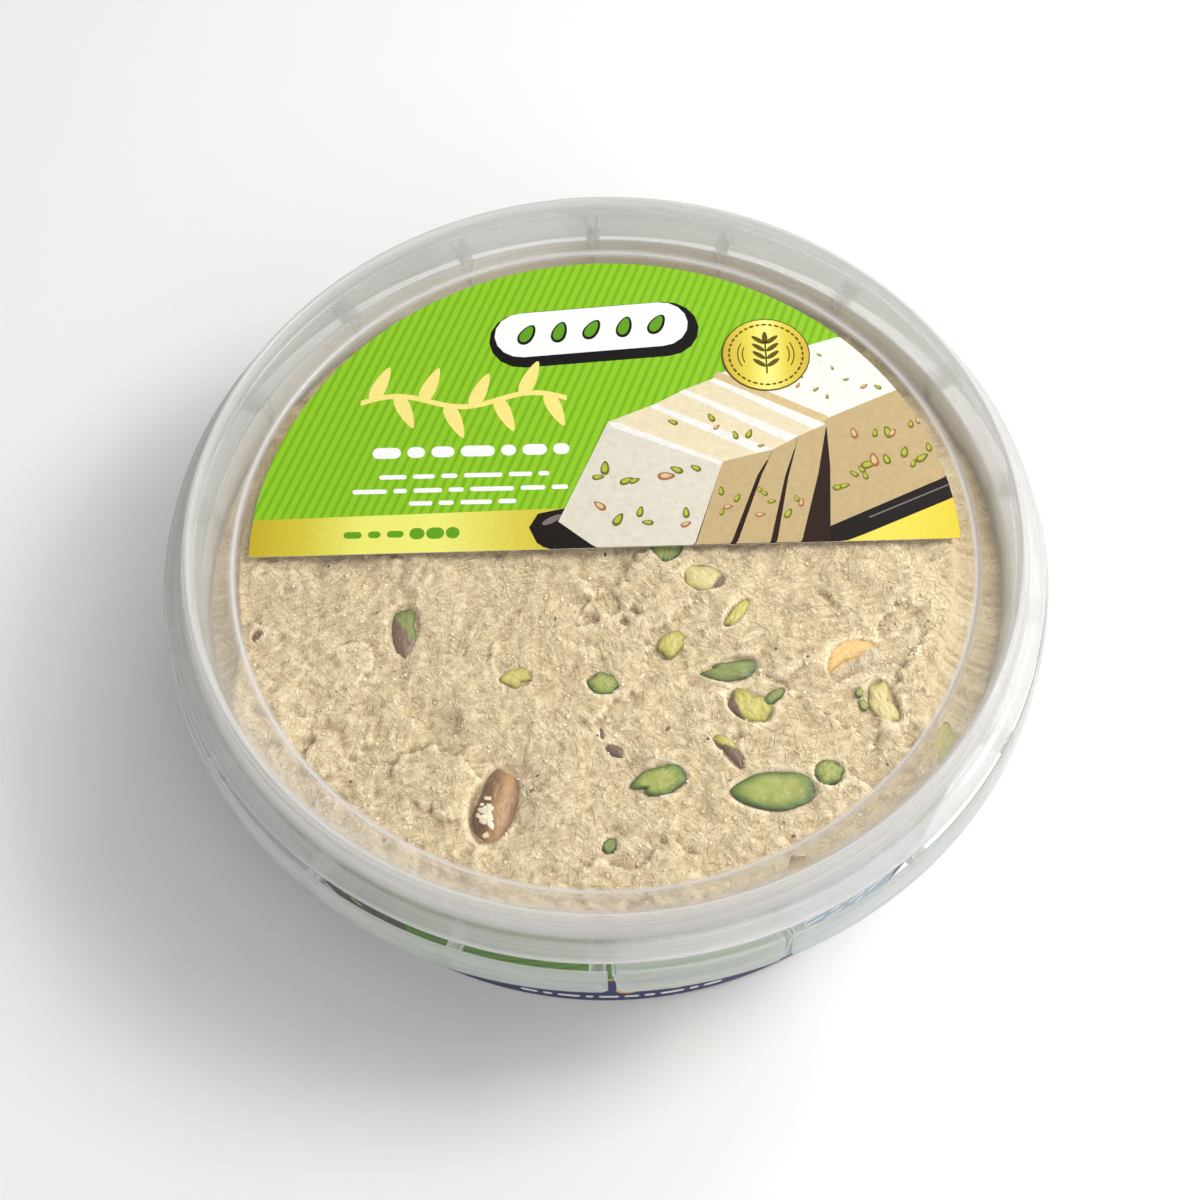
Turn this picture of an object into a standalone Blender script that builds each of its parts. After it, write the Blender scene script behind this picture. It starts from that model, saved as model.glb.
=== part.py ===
"""Round tub of pistachio halva, closed with a clear recessed lid.

The tub is one moulding: a tapered cup with a foot ring, a tamper collar that hangs on webs round its neck, and a
tear tab at the front. The lid is a second moulding that snaps over the tub's rim. Inside, one block of halva fills
the tub almost to the lid, and pistachio pieces lie in pockets in its top. A half-round label lies on the lid and a
printed sleeve goes round the tub's wall. The origin is the centre of the foot ring on the table, +Z is up and -Y is
the front, where the tear tab is.
"""

import math

import bmesh
import bpy
import numpy as np
from mathutils import Matrix

MM = 0.001
SEGMENTS = 56
GAP = 0.3 * MM

# Driving sizes
TUB_RADIUS = 63.5 * MM
PANEL_TOP = 34.35 * MM
PANEL_RADIUS = 52.8 * MM
LID_TOP = 40.6 * MM
LID_RADIUS = 62.4 * MM

# Tub
TUB_WALL = 0.7 * MM
TUB_FLOOR = 0.9 * MM
FOOT_RISE = 0.8 * MM
FOOT_INNER = 49.0 * MM
FOOT_OUTER = 54.4 * MM
FOOT_FILLET = 0.9 * MM
FLOOR_FILLET = 1.8 * MM
WALL_FOOT_RADIUS = 55.75 * MM
WALL_FOOT_Z = 2.4 * MM
RIM_RADIUS = 58.25 * MM
RIM_Z = 37.65 * MM
RIM_CROWN = 0.25 * MM
RIM_CHAMFER = 0.15 * MM

# Tamper collar, its webs and its tear tab
COLLAR_TOP = 32.2 * MM
COLLAR_FOOT = 25.8 * MM
COLLAR_TOP_RADIUS = 63.1 * MM
COLLAR_WALL = 0.6 * MM
WEB_COUNT = 18
WEB_FIRST = 10.5
WEB_TOP = 32.0 * MM
WEB_FOOT = 26.4 * MM
WEB_TOP_WIDTH = 2.3 * MM
WEB_FOOT_WIDTH = 0.8 * MM
TAB_FROM = 269.5
TAB_TO = 291.0
TAB_LEDGE = 0.8 * MM
SLIT = 1.1 * MM

# Lid
LID_WALL = 0.6 * MM
PANEL_FILLET = 1.2 * MM
CONE_TOP_RADIUS = 58.2 * MM
BEAD_DROP = 1.0 * MM

# Outer wall, shelf and lip of the lid, as radius and height over the panel: down the outside, then back underneath
LID_SKIRT = (
    (58.75 * MM, 5.65 * MM),
    (59.1 * MM, 4.1 * MM),
    (60.0 * MM, 1.1 * MM),
    (61.2 * MM, 0.4 * MM),
    (LID_RADIUS - 0.1 * MM, -0.2 * MM),
    (LID_RADIUS, -0.55 * MM),
    (LID_RADIUS - 0.3 * MM, -0.85 * MM),
    (61.0 * MM, -0.3 * MM),
    (59.4 * MM, 0.7 * MM),
    (58.6 * MM, 3.7 * MM),
)

# Labels
LABEL_RADIUS = 50.6 * MM
LABEL_CHORD_Y = -0.45 * MM
LABEL_THICK = 0.2 * MM
SLEEVE_THICK = 0.25 * MM
SLEEVE_FOOT = 1.6 * MM
SLEEVE_TOP = 26.0 * MM

# Halva
HALVA_TOP = 32.7 * MM
HALVA_SWELL = 0.35 * MM
HALVA_FRONT_INSET = 0.8 * MM
HALVA_BACK_INSET = 6.2 * MM
HALVA_OFFSET = 0.9 * MM
HALVA_OFFSET_FROM = 45.0
HALVA_FRONT_DROP = 0.9 * MM
HALVA_BACK_DROP = 11.0 * MM
HALVA_FRONT_AT = 263.0
HALVA_LEAVES = 54.0
HALVA_CLEAR = 72.0
HALVA_FOOT_FILLET = 2.2 * MM
HALVA_RINGS = 7
HALVA_EDGE_RINGS = 4

# Pistachio pieces: x and y of the middle, length, width, thickness and height of the top in millimetres, the turn of
# the long way in degrees from +X, how much the far end narrows, and whether the piece is a half with a flat cut face.
PISTACHIOS = {
    "pistachio_whole_skin": (-15.4, -38.6, 12.3, 6.7, 6.2, 33.20, 73, 0.25, False),
    "pistachio_half_large": (21.6, -38.3, 11.6, 6.2, 3.4, 33.30, 182, 0.35, True),
    "pistachio_half_notched": (6.4, -36.3, 7.9, 5.2, 3.2, 33.30, 192, 0.45, True),
    "pistachio_purple_skin": (-28.5, -12.3, 9.5, 4.8, 4.4, 33.20, 268, 0.50, False),
    "pistachio_dark_green": (16.7, -19.7, 9.0, 4.1, 4.0, 33.30, 186, 0.45, False),
    "pistachio_skinned_half": (19.4, -25.4, 7.0, 4.9, 3.2, 33.30, 325, 0.15, True),
    "pistachio_golden": (34.0, -17.9, 9.6, 5.0, 4.2, 33.20, 30, 0.20, False),
    "pistachio_pale": (37.8, -25.3, 7.6, 4.2, 3.4, 33.25, 291, 0.30, False),
    "pistachio_curved_sliver": (16.2, -32.0, 6.6, 2.3, 2.4, 33.20, 306, 0.10, False),
    "pistachio_small_round": (29.5, -35.7, 4.3, 4.0, 3.0, 33.30, 20, 0.15, True),
    "pistachio_small_green": (-0.7, -21.4, 4.8, 3.9, 2.8, 33.25, 340, 0.45, True),
    "pistachio_rimmed_slice": (14.0, -5.0, 5.9, 4.4, 2.8, 33.25, 345, 0.20, True),
    "pistachio_under_label": (8.9, 0.6, 5.6, 5.2, 3.2, 33.25, 270, 0.35, True),
    "pistachio_yellow_half": (9.0, -15.4, 5.0, 3.7, 2.8, 33.25, 50, 0.30, True),
}
PIT_RADIUS = 7.0 * MM
PIT_DEPTH = 1.6 * MM
PIT_PIECE = "pistachio_whole_skin"
CUT_LEVEL = 0.62

# name: base colour, roughness, metallic, alpha
FINISHES = {
    "clear_tub_plastic": ((0.80, 0.81, 0.79), 0.30, 0.0, 0.45),
    "clear_lid_plastic": ((0.84, 0.84, 0.83), 0.22, 0.0, 0.35),
    "halva": ((0.63, 0.53, 0.35), 0.75, 0.0, 1.0),
    "label_print": ((0.22, 0.52, 0.05), 0.35, 0.0, 1.0),
    "sleeve_print": ((0.16, 0.36, 0.07), 0.40, 0.0, 1.0),
    "pistachio_green": ((0.17, 0.25, 0.05), 0.50, 0.0, 1.0),
    "pistachio_skin": ((0.20, 0.10, 0.06), 0.45, 0.0, 1.0),
}


def material(name):
    """The named finish as a Principled BSDF."""
    found = bpy.data.materials.get(name)
    if found:
        return found
    colour, roughness, metallic, alpha = FINISHES[name]
    made = bpy.data.materials.new(name)
    made.use_nodes = True
    shader = made.node_tree.nodes["Principled BSDF"]
    shader.inputs["Base Color"].default_value = (*colour, 1.0)
    shader.inputs["Roughness"].default_value = roughness
    shader.inputs["Metallic"].default_value = metallic
    shader.inputs["Alpha"].default_value = alpha
    return made


def new_object(name, mesh, finish, collection):
    """An object for a mesh, with its finish, in a collection."""
    made = bpy.data.objects.new(name, mesh)
    collection.objects.link(made)
    if finish:
        made.data.materials.append(material(finish))
    return made


def polyline(name, points, closed):
    """A mesh of edges through (radius, height) points in the XZ plane."""
    mesh = bpy.data.meshes.new(name)
    corners = [(r, 0.0, z) for r, z in points]
    edges = [(i, i + 1) for i in range(len(corners) - 1)]
    if closed:
        edges.append((len(corners) - 1, 0))
    mesh.from_pydata(corners, edges, [])
    return mesh


def turned(name, points, finish, collection, closed=False):
    """A profile turned about +Z. An open profile starts and ends on the axis."""
    made = new_object(name, polyline(name, points, closed), finish, collection)
    screw = made.modifiers.new("turn", "SCREW")
    screw.axis = "Z"
    screw.angle = math.tau
    screw.steps = SEGMENTS
    screw.render_steps = SEGMENTS
    screw.use_merge_vertices = True
    screw.merge_threshold = 0.00002
    screw.use_smooth_shade = True
    return made


def rounded(before, corner, after, radius, steps):
    """Points on an arc that rounds one corner of a profile, from the side of before to the side of after."""
    to_before = np.subtract(before, corner)
    to_after = np.subtract(after, corner)
    to_before = to_before / np.hypot(*to_before)
    to_after = to_after / np.hypot(*to_after)
    half = 0.5 * math.acos(float(np.clip(to_before @ to_after, -1.0, 1.0)))
    middle = (to_before + to_after) / np.hypot(*(to_before + to_after))
    centre = np.add(corner, middle * radius / math.sin(half))
    first = np.add(corner, to_before * radius / math.tan(half)) - centre
    last = np.add(corner, to_after * radius / math.tan(half)) - centre
    start = math.atan2(first[1], first[0])
    sweep = (math.atan2(last[1], last[0]) - start + math.pi) % math.tau - math.pi
    angles = [start + sweep * i / steps for i in range(steps + 1)]
    return [(centre[0] + radius * math.cos(a), centre[1] + radius * math.sin(a)) for a in angles]


def wall_radius(z):
    """Outer radius of the tub's tapered wall at a height."""
    return WALL_FOOT_RADIUS + (RIM_RADIUS - WALL_FOOT_RADIUS) * (z - WALL_FOOT_Z) / (RIM_Z - WALL_FOOT_Z)


def collar_radius(z):
    """Outer radius of the tamper collar at a height."""
    return COLLAR_TOP_RADIUS + (TUB_RADIUS - COLLAR_TOP_RADIUS) * (COLLAR_TOP - z) / (COLLAR_TOP - COLLAR_FOOT)


def tub_profile():
    """The cup: inner floor, inner wall, rim, outer wall and foot ring."""
    floor_z = FOOT_RISE + TUB_FLOOR
    inner_corner = (WALL_FOOT_RADIUS - TUB_WALL, floor_z)
    inner_rim = (RIM_RADIUS - TUB_WALL, RIM_Z)
    outer_corner = (wall_radius(0.0), 0.0)
    outer_rim = (RIM_RADIUS, RIM_Z)
    points = [(0.0, floor_z)]
    points += rounded((0.0, floor_z), inner_corner, inner_rim, FLOOR_FILLET, 2)
    points += [inner_rim]
    points += [(RIM_RADIUS - TUB_WALL + RIM_CHAMFER, RIM_Z + RIM_CROWN)]
    points += [(RIM_RADIUS - RIM_CHAMFER, RIM_Z + RIM_CROWN)]
    points += [outer_rim]
    points += rounded(outer_rim, outer_corner, (FOOT_OUTER, 0.0), FOOT_FILLET, 3)
    points += [(FOOT_INNER + FOOT_RISE, 0.0), (FOOT_INNER, FOOT_RISE), (0.0, FOOT_RISE)]
    return points


def collar_profile():
    """The tamper collar: a thin band that leans out a little towards its foot."""
    return [
        (COLLAR_TOP_RADIUS, COLLAR_TOP),
        (TUB_RADIUS, COLLAR_FOOT),
        (TUB_RADIUS - COLLAR_WALL, COLLAR_FOOT),
        (COLLAR_TOP_RADIUS - COLLAR_WALL, COLLAR_TOP),
    ]


def lid_profile():
    """The lid: flat panel, cone up to the snap bead, outer wall, shelf and lip, then back under all of them."""
    cone_foot = (PANEL_RADIUS, PANEL_TOP)
    cone_top = (CONE_TOP_RADIUS, LID_TOP)
    run, rise = cone_top[0] - cone_foot[0], cone_top[1] - cone_foot[1]
    length = math.hypot(run, rise)
    under = (rise / length * LID_WALL, -run / length * LID_WALL)
    under_foot = (cone_foot[0] + 0.43 * LID_WALL, PANEL_TOP - LID_WALL)
    bead_roof = (cone_top[0] - 0.05 * MM, cone_top[1] - BEAD_DROP)
    points = [(0.0, PANEL_TOP)]
    points += rounded((0.0, PANEL_TOP), cone_foot, cone_top, PANEL_FILLET, 2)
    points += [(cone_top[0] - 0.15 * MM, LID_TOP - 0.15 * MM), (cone_top[0] + 0.25 * MM, LID_TOP)]
    points += [(r, PANEL_TOP + z) for r, z in LID_SKIRT]
    points += [bead_roof]
    points += [(cone_foot[0] + under[0] + 0.12 * run, cone_foot[1] + under[1] + 0.12 * rise)]
    points += [under_foot, (0.0, PANEL_TOP - LID_WALL)]
    return points


def sleeve_profile():
    """The printed sleeve: a thin band that follows the tub's outer wall."""
    inner_top, inner_foot = wall_radius(SLEEVE_TOP) + GAP, wall_radius(SLEEVE_FOOT) + GAP
    return [
        (inner_top + SLEEVE_THICK, SLEEVE_TOP),
        (inner_foot + SLEEVE_THICK, SLEEVE_FOOT),
        (inner_foot, SLEEVE_FOOT),
        (inner_top, SLEEVE_TOP),
    ]


def boolean(target, tool, operation):
    """An EXACT Boolean on target with another object."""
    cut = target.modifiers.new(f"{operation.lower()}_{tool.name}", "BOOLEAN")
    cut.operation = operation
    cut.solver = "EXACT"
    cut.object = tool
    return cut


def make_tool(made):
    """Marks an object as a construction tool that isn't part of the model."""
    made.hide_render = True
    made.display_type = "WIRE"
    return made


def wedge(name, angle, heights, inner, outer, widths, collection):
    """A block that points out from the axis at an angle in degrees. Its heights, its inner and outer radii and its
    widths are each given at the foot and at the top."""
    mesh = bpy.data.meshes.new(name)
    shape = bmesh.new()
    bmesh.ops.create_cube(shape, size=1.0)
    for corner in shape.verts:
        end = 1 if corner.co.z > 0 else 0
        radii = outer if corner.co.x > 0 else inner
        corner.co = (radii[end], math.copysign(widths[end] / 2, corner.co.y), heights[end])
    bmesh.ops.rotate(shape, verts=shape.verts, matrix=Matrix.Rotation(math.radians(angle), 3, "Z"))
    shape.to_mesh(mesh)
    shape.free()
    return make_tool(new_object(name, mesh, None, collection))


def build_webs(tools):
    """The webs that carry the collar, as tapered blocks between the tub's wall and the collar."""
    inner = tuple(wall_radius(z) - 0.5 * TUB_WALL for z in (WEB_FOOT, WEB_TOP))
    outer = tuple(collar_radius(z) - 0.5 * COLLAR_WALL for z in (WEB_FOOT, WEB_TOP))
    widths = (WEB_FOOT_WIDTH, WEB_TOP_WIDTH)
    step = 360.0 / WEB_COUNT
    return [
        wedge(f"web_{i:02d}", WEB_FIRST + step * i, (WEB_FOOT, WEB_TOP), inner, outer, widths, tools)
        for i in range(WEB_COUNT)
    ]


def flat_outline(name, outline, thickness, collection):
    """A flat closed outline in the XY plane as a 2D curve with a thickness, centred on z = 0."""
    curve = bpy.data.curves.new(name, "CURVE")
    curve.dimensions = "2D"
    curve.fill_mode = "BOTH"
    curve.extrude = thickness / 2
    spline = curve.splines.new("POLY")
    spline.points.add(len(outline) - 1)
    for point, (x, y) in zip(spline.points, outline):
        point.co = (x, y, 0.0, 1.0)
    spline.use_cyclic_u = True
    return new_object(name, curve, None, collection)


def arc(radius, start, end, steps):
    """Points on a circle round the axis, from one angle in degrees to another."""
    angles = [math.radians(start + (end - start) * i / steps) for i in range(steps + 1)]
    return [(radius * math.cos(a), radius * math.sin(a)) for a in angles]


def curve_as_mesh(made, height, collection):
    """A mesh object of a curve object, welded and raised to a height. The curve is removed."""
    graph = bpy.context.evaluated_depsgraph_get()
    mesh = bpy.data.meshes.new_from_object(made.evaluated_get(graph))
    shape = bmesh.new()
    shape.from_mesh(mesh)
    bmesh.ops.remove_doubles(shape, verts=shape.verts, dist=0.01 * MM)
    bmesh.ops.translate(shape, verts=shape.verts, vec=(0.0, 0.0, height))
    shape.to_mesh(mesh)
    shape.free()
    name = made.name
    bpy.data.objects.remove(made, do_unlink=True)
    return new_object(name, mesh, None, collection)


def build_ledge(tools):
    """The tear tab's ledge: a stretch of flat ring between the tub's wall and the collar."""
    middle = WEB_TOP - TAB_LEDGE / 2
    inner = wall_radius(middle) - 0.5 * TUB_WALL
    outer = collar_radius(middle) - 0.5 * COLLAR_WALL
    outline = arc(outer, TAB_FROM, TAB_TO, 6) + arc(inner, TAB_TO, TAB_FROM, 6)
    return make_tool(curve_as_mesh(flat_outline("tab_ledge", outline, TAB_LEDGE, tools), middle, tools))


def build_slits(tools):
    """The cuts at both ends of the tear tab, through the collar and its ledge."""
    inner, outer = wall_radius(WEB_TOP) + 1.0 * MM, TUB_RADIUS + 1.0 * MM
    heights = (COLLAR_FOOT - 1.0 * MM, COLLAR_TOP + 1.0 * MM)
    return [
        wedge(f"slit_{i}", angle, heights, (inner, inner), (outer, outer), (SLIT, SLIT), tools)
        for i, angle in enumerate((TAB_FROM, TAB_TO))
    ]


def build_tub(parts, tools):
    """The tub with its collar, webs and tear tab, all one moulding."""
    tub = turned("tub", tub_profile(), "clear_tub_plastic", parts)
    collar = make_tool(turned("collar_band", collar_profile(), None, tools, closed=True))
    for tool in [collar, *build_webs(tools), build_ledge(tools)]:
        boolean(tub, tool, "UNION")
    for tool in build_slits(tools):
        boolean(tub, tool, "DIFFERENCE")
    return tub


def build_lid_label(parts):
    """The half-round label on the lid's panel."""
    start = math.degrees(math.asin(LABEL_CHORD_Y / LABEL_RADIUS))
    outline = arc(LABEL_RADIUS, start, 180.0 - start, SEGMENTS // 2)
    label = flat_outline("lid_label", outline, LABEL_THICK, parts)
    label.data.materials.append(material("label_print"))
    label.location.z = PANEL_TOP + GAP + LABEL_THICK / 2
    return label


def back_share(angle):
    """How far the halva has drawn away from the wall: 0 at the front, 1 at the sides and back."""
    turn = abs((math.degrees(angle) - HALVA_FRONT_AT + 180.0) % 360.0 - 180.0)
    share = min(max((turn - HALVA_LEAVES) / (HALVA_CLEAR - HALVA_LEAVES), 0.0), 1.0)
    return share * share * (3.0 - 2.0 * share)


def halva_radius(z):
    """Radius to which the halva can fill the tub at a height."""
    return wall_radius(z) - TUB_WALL - GAP


def halva_height(x, y):
    """Height of the halva's uneven top: long low waves, with a pit round the whole kernel."""
    waves = math.sin(x * 190.0 + 1.0) * math.cos(y * 160.0) + 0.6 * math.sin(x * 90.0 - y * 260.0)
    pit_x, pit_y = (v * MM for v in PISTACHIOS[PIT_PIECE][:2])
    away = math.hypot(x - pit_x, y - pit_y) / PIT_RADIUS
    return HALVA_TOP + HALVA_SWELL * waves / 1.6 - PIT_DEPTH * math.exp(-away**4)


def halva_ring(angle):
    """One half section of the halva at an angle, from the middle of its top, out and down to its foot. Its shoulder
    bulges at the front, and falls away steeply where it has left the wall."""
    back = back_share(angle)
    back_inset = HALVA_BACK_INSET + HALVA_OFFSET * math.cos(angle - math.radians(HALVA_OFFSET_FROM))
    inset = HALVA_FRONT_INSET + back * (back_inset - HALVA_FRONT_INSET)
    drop = HALVA_FRONT_DROP + back * (HALVA_BACK_DROP - HALVA_FRONT_DROP)
    edge = halva_radius(HALVA_TOP) - inset
    section = []
    for i in range(1, HALVA_RINGS + 1):
        r = edge * i / HALVA_RINGS
        section.append((r, halva_height(r * math.cos(angle), r * math.sin(angle))))
    top = section[-1][1]
    for i in range(1, HALVA_EDGE_RINGS + 1):
        bend = 0.5 * math.pi * i / HALVA_EDGE_RINGS
        out = (1.0 - back) * math.sin(bend) + back * (1.0 - math.cos(bend))
        down = (1.0 - back) * (1.0 - math.cos(bend)) + back * math.sin(bend)
        section.append((edge + (halva_radius(top - drop) - edge) * out, top - drop * down))
    foot = FOOT_RISE + TUB_FLOOR + GAP
    corner = (halva_radius(WALL_FOOT_Z), foot)
    section += rounded(section[-1], corner, (0.0, foot), HALVA_FOOT_FILLET, 2)
    return section


def build_halva(parts, tools, pieces):
    """The block of halva, lofted through a section at each angle, with a pocket round every pistachio piece."""
    angles = [math.tau * i / SEGMENTS for i in range(SEGMENTS)]
    sections = [halva_ring(angle) for angle in angles]
    rings = len(sections[0])
    corners = [
        (r * math.cos(angle), r * math.sin(angle), z)
        for angle, section in zip(angles, sections)
        for r, z in section
    ]
    top, foot = len(corners), len(corners) + 1
    corners += [(0.0, 0.0, halva_height(0.0, 0.0)), (0.0, 0.0, FOOT_RISE + TUB_FLOOR + GAP)]
    faces = []
    for i in range(SEGMENTS):
        here, there = i * rings, (i + 1) % SEGMENTS * rings
        faces.append((top, here, there))
        faces += [(here + k, here + k + 1, there + k + 1, there + k) for k in range(rings - 1)]
        faces.append((foot, there + rings - 1, here + rings - 1))
    mesh = bpy.data.meshes.new("halva")
    mesh.from_pydata(corners, [], faces)
    halva = new_object("halva", mesh, "halva", parts)
    for name in pieces:
        pocket = make_tool(new_object(f"pocket_{name}", kernel_mesh(name, 2.2 * GAP, False), None, tools))
        boolean(halva, pocket, "DIFFERENCE")
    return halva


def kernel_mesh(name, grow, with_cut):
    """A pistachio piece: an egg along X that narrows to one end, cut flat on top if it is a half."""
    x, y, length, width, thick, top, turn, narrow, is_half = PISTACHIOS[name]
    shape = bmesh.new()
    lengthways = Matrix.Rotation(math.pi / 2, 4, "Y")
    bmesh.ops.create_uvsphere(shape, u_segments=10, v_segments=7, radius=0.5, matrix=lengthways)
    for corner in shape.verts:
        share = 1.0 - narrow * (corner.co.x + 0.5) ** 2
        corner.co.y *= share
        corner.co.z *= share
    full_thick = thick * MM / (CUT_LEVEL if is_half else 1.0)
    size = (length * MM + 2 * grow, width * MM + 2 * grow, full_thick + 2 * grow)
    bmesh.ops.scale(shape, verts=shape.verts, vec=size)
    cut_z = (CUT_LEVEL - 0.5) * full_thick
    if is_half and with_cut:
        planes = shape.verts[:] + shape.edges[:] + shape.faces[:]
        level = {"plane_co": (0, 0, cut_z), "plane_no": (0, 0, 1)}
        cut = bmesh.ops.bisect_plane(shape, geom=planes, clear_outer=True, **level)
        rim = [item for item in cut["geom_cut"] if isinstance(item, bmesh.types.BMEdge)]
        bmesh.ops.contextual_create(shape, geom=rim)
    crown = cut_z if is_half else full_thick / 2
    place = Matrix.Translation((x * MM, y * MM, top * MM - crown)) @ Matrix.Rotation(math.radians(turn), 4, "Z")
    bmesh.ops.transform(shape, matrix=place, verts=shape.verts)
    bmesh.ops.recalc_face_normals(shape, faces=shape.faces)
    mesh = bpy.data.meshes.new(name)
    shape.to_mesh(mesh)
    shape.free()
    return mesh


def build_pistachios(parts):
    """Every large pistachio piece as its own object."""
    for name in PISTACHIOS:
        finish = "pistachio_skin" if "skin" in name or "golden" in name else "pistachio_green"
        piece = new_object(name, kernel_mesh(name, 0.0, True), finish, parts)
        piece.data.shade_smooth()
        piece.data.set_sharp_from_angle(angle=math.radians(50))


def main():
    """Clears the scene's objects and builds the tub of halva."""
    for old in list(bpy.data.objects):
        bpy.data.objects.remove(old, do_unlink=True)
    parts = bpy.data.collections.new("halva_tub")
    tools = bpy.data.collections.new("halva_tub_tools")
    bpy.context.scene.collection.children.link(parts)
    bpy.context.scene.collection.children.link(tools)
    build_tub(parts, tools)
    turned("lid", lid_profile(), "clear_lid_plastic", parts)
    turned("sleeve", sleeve_profile(), "sleeve_print", parts, closed=True)
    build_lid_label(parts)
    build_halva(parts, tools, PISTACHIOS)
    build_pistachios(parts)


main()
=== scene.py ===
"""The looks of a closed tub of pistachio halva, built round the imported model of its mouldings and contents.

The tub and the lid are remade as smooth turned shells of milky plastic, the halva as a fibrous block with
loose threads, crumbs and flecks, the pistachio pieces one by one, and the prints as thin fields of ink.
Lengths are in metres. The tub stands on z = 0, -Y is its front and its axis is the Z axis.
"""

import logging
import math
from collections.abc import Callable
from dataclasses import dataclass, field
from enum import Enum

import bpy
import numpy as np
from mathutils import Matrix, Vector


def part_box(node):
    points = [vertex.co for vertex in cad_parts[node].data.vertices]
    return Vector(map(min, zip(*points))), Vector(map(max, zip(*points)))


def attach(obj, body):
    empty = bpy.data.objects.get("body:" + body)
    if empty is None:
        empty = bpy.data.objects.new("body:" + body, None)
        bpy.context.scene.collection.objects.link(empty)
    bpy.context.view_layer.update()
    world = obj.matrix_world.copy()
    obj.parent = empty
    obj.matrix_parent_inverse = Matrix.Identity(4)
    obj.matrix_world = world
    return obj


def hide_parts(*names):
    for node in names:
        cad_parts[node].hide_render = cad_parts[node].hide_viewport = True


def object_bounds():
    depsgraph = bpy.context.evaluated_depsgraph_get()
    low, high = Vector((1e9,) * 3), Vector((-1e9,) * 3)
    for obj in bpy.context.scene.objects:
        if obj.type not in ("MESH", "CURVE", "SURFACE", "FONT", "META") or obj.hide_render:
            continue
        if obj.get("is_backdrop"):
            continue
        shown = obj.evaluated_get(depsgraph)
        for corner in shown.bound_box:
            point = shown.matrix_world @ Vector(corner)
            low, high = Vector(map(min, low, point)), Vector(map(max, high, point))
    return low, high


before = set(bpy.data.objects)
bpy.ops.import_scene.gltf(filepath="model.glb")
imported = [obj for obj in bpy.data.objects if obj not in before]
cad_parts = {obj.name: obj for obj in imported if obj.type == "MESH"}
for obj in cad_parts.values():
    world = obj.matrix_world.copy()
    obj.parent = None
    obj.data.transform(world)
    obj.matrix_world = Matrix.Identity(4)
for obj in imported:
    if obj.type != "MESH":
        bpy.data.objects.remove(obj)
CAD_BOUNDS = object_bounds()

LOG = logging.getLogger("halva_tub")
MM = 0.001
BODY = "root"
SEED = 350

Colour = tuple[float, float, float]
Socket = bpy.types.NodeSocket
Array = np.ndarray
Material = bpy.types.Material
Mesh = bpy.types.Mesh
FaceBlocks = list[Array]


def srgb(red: int, green: int, blue: int) -> Colour:
    """A colour given in display values from 0 to 255, as the linear values that shaders read.

    Args:
        red: red from 0 to 255.
        green: green.
        blue: blue.

    Returns:
        The linear colour.
    """
    share = np.array((red, green, blue)) / 255.0
    linear = np.where(share <= 0.04045, share / 12.92, ((share + 0.055) / 1.055) ** 2.4)
    return tuple(float(v) for v in linear)


# ------------------------------------------------------------------------------------------ shapes


def new_mesh(name: str, points: Array, faces: FaceBlocks) -> Mesh:
    """A mesh from corner positions and blocks of faces.

    Args:
        name: the mesh's name.
        points: corner positions, one row each.
        faces: blocks of faces; each block is an array with one row of corner numbers for each face.

    Returns:
        The mesh, smooth shaded.
    """
    mesh = bpy.data.meshes.new(name)
    loops = np.concatenate([block.ravel() for block in faces]).astype(np.int32)
    sizes = np.concatenate([np.full(len(block), block.shape[1]) for block in faces])
    starts = np.concatenate([[0], np.cumsum(sizes)[:-1]]).astype(np.int32)
    mesh.vertices.add(len(points))
    mesh.vertices.foreach_set("co", np.ascontiguousarray(points, np.float32).ravel())
    mesh.loops.add(len(loops))
    mesh.loops.foreach_set("vertex_index", loops)
    mesh.polygons.add(len(starts))
    mesh.polygons.foreach_set("loop_start", starts)
    mesh.polygons.foreach_set("use_smooth", np.ones(len(starts), bool))
    mesh.update(calc_edges=True)
    mesh.validate()
    return mesh


def grid_faces(rows: int, cols: int, wrap_rows: bool = False, wrap_cols: bool = False) -> Array:
    """Faces over a grid of corners numbered row by row. They point outwards if the columns of a turned
    shape run down its outer side and its rows turn left about +Z.

    Args:
        rows: rows of corners.
        cols: columns of corners.
        wrap_rows: True if the last row meets the first.
        wrap_cols: the same for columns.

    Returns:
        One row of four corner numbers for each face.
    """
    row, col = np.meshgrid(
        np.arange(rows if wrap_rows else rows - 1),
        np.arange(cols if wrap_cols else cols - 1),
        indexing="ij",
    )
    next_row, next_col = (row + 1) % rows, (col + 1) % cols
    corners = [row * cols + col, row * cols + next_col, next_row * cols + next_col, next_row * cols + col]
    return np.stack(corners, -1).reshape(-1, 4)


def capped_rings(rings: Array, poles: Array) -> tuple[Array, FaceBlocks]:
    """A closed skin over rings round the Z axis, shut by a fan at each end.

    Args:
        rings: positions as rows round the axis and columns from the top pole to the foot pole.
        poles: the top and the foot pole.

    Returns:
        Corner positions and face blocks.
    """
    rows, cols = rings.shape[:2]
    first = np.arange(rows) * cols
    after = np.roll(first, -1)
    top = np.stack([np.full(rows, rows * cols), first, after], -1)
    foot = np.stack([np.full(rows, rows * cols + 1), after + cols - 1, first + cols - 1], -1)
    points = np.concatenate([rings.reshape(-1, 3), poles])
    return points, [grid_faces(rows, cols, wrap_rows=True), top, foot]


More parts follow.
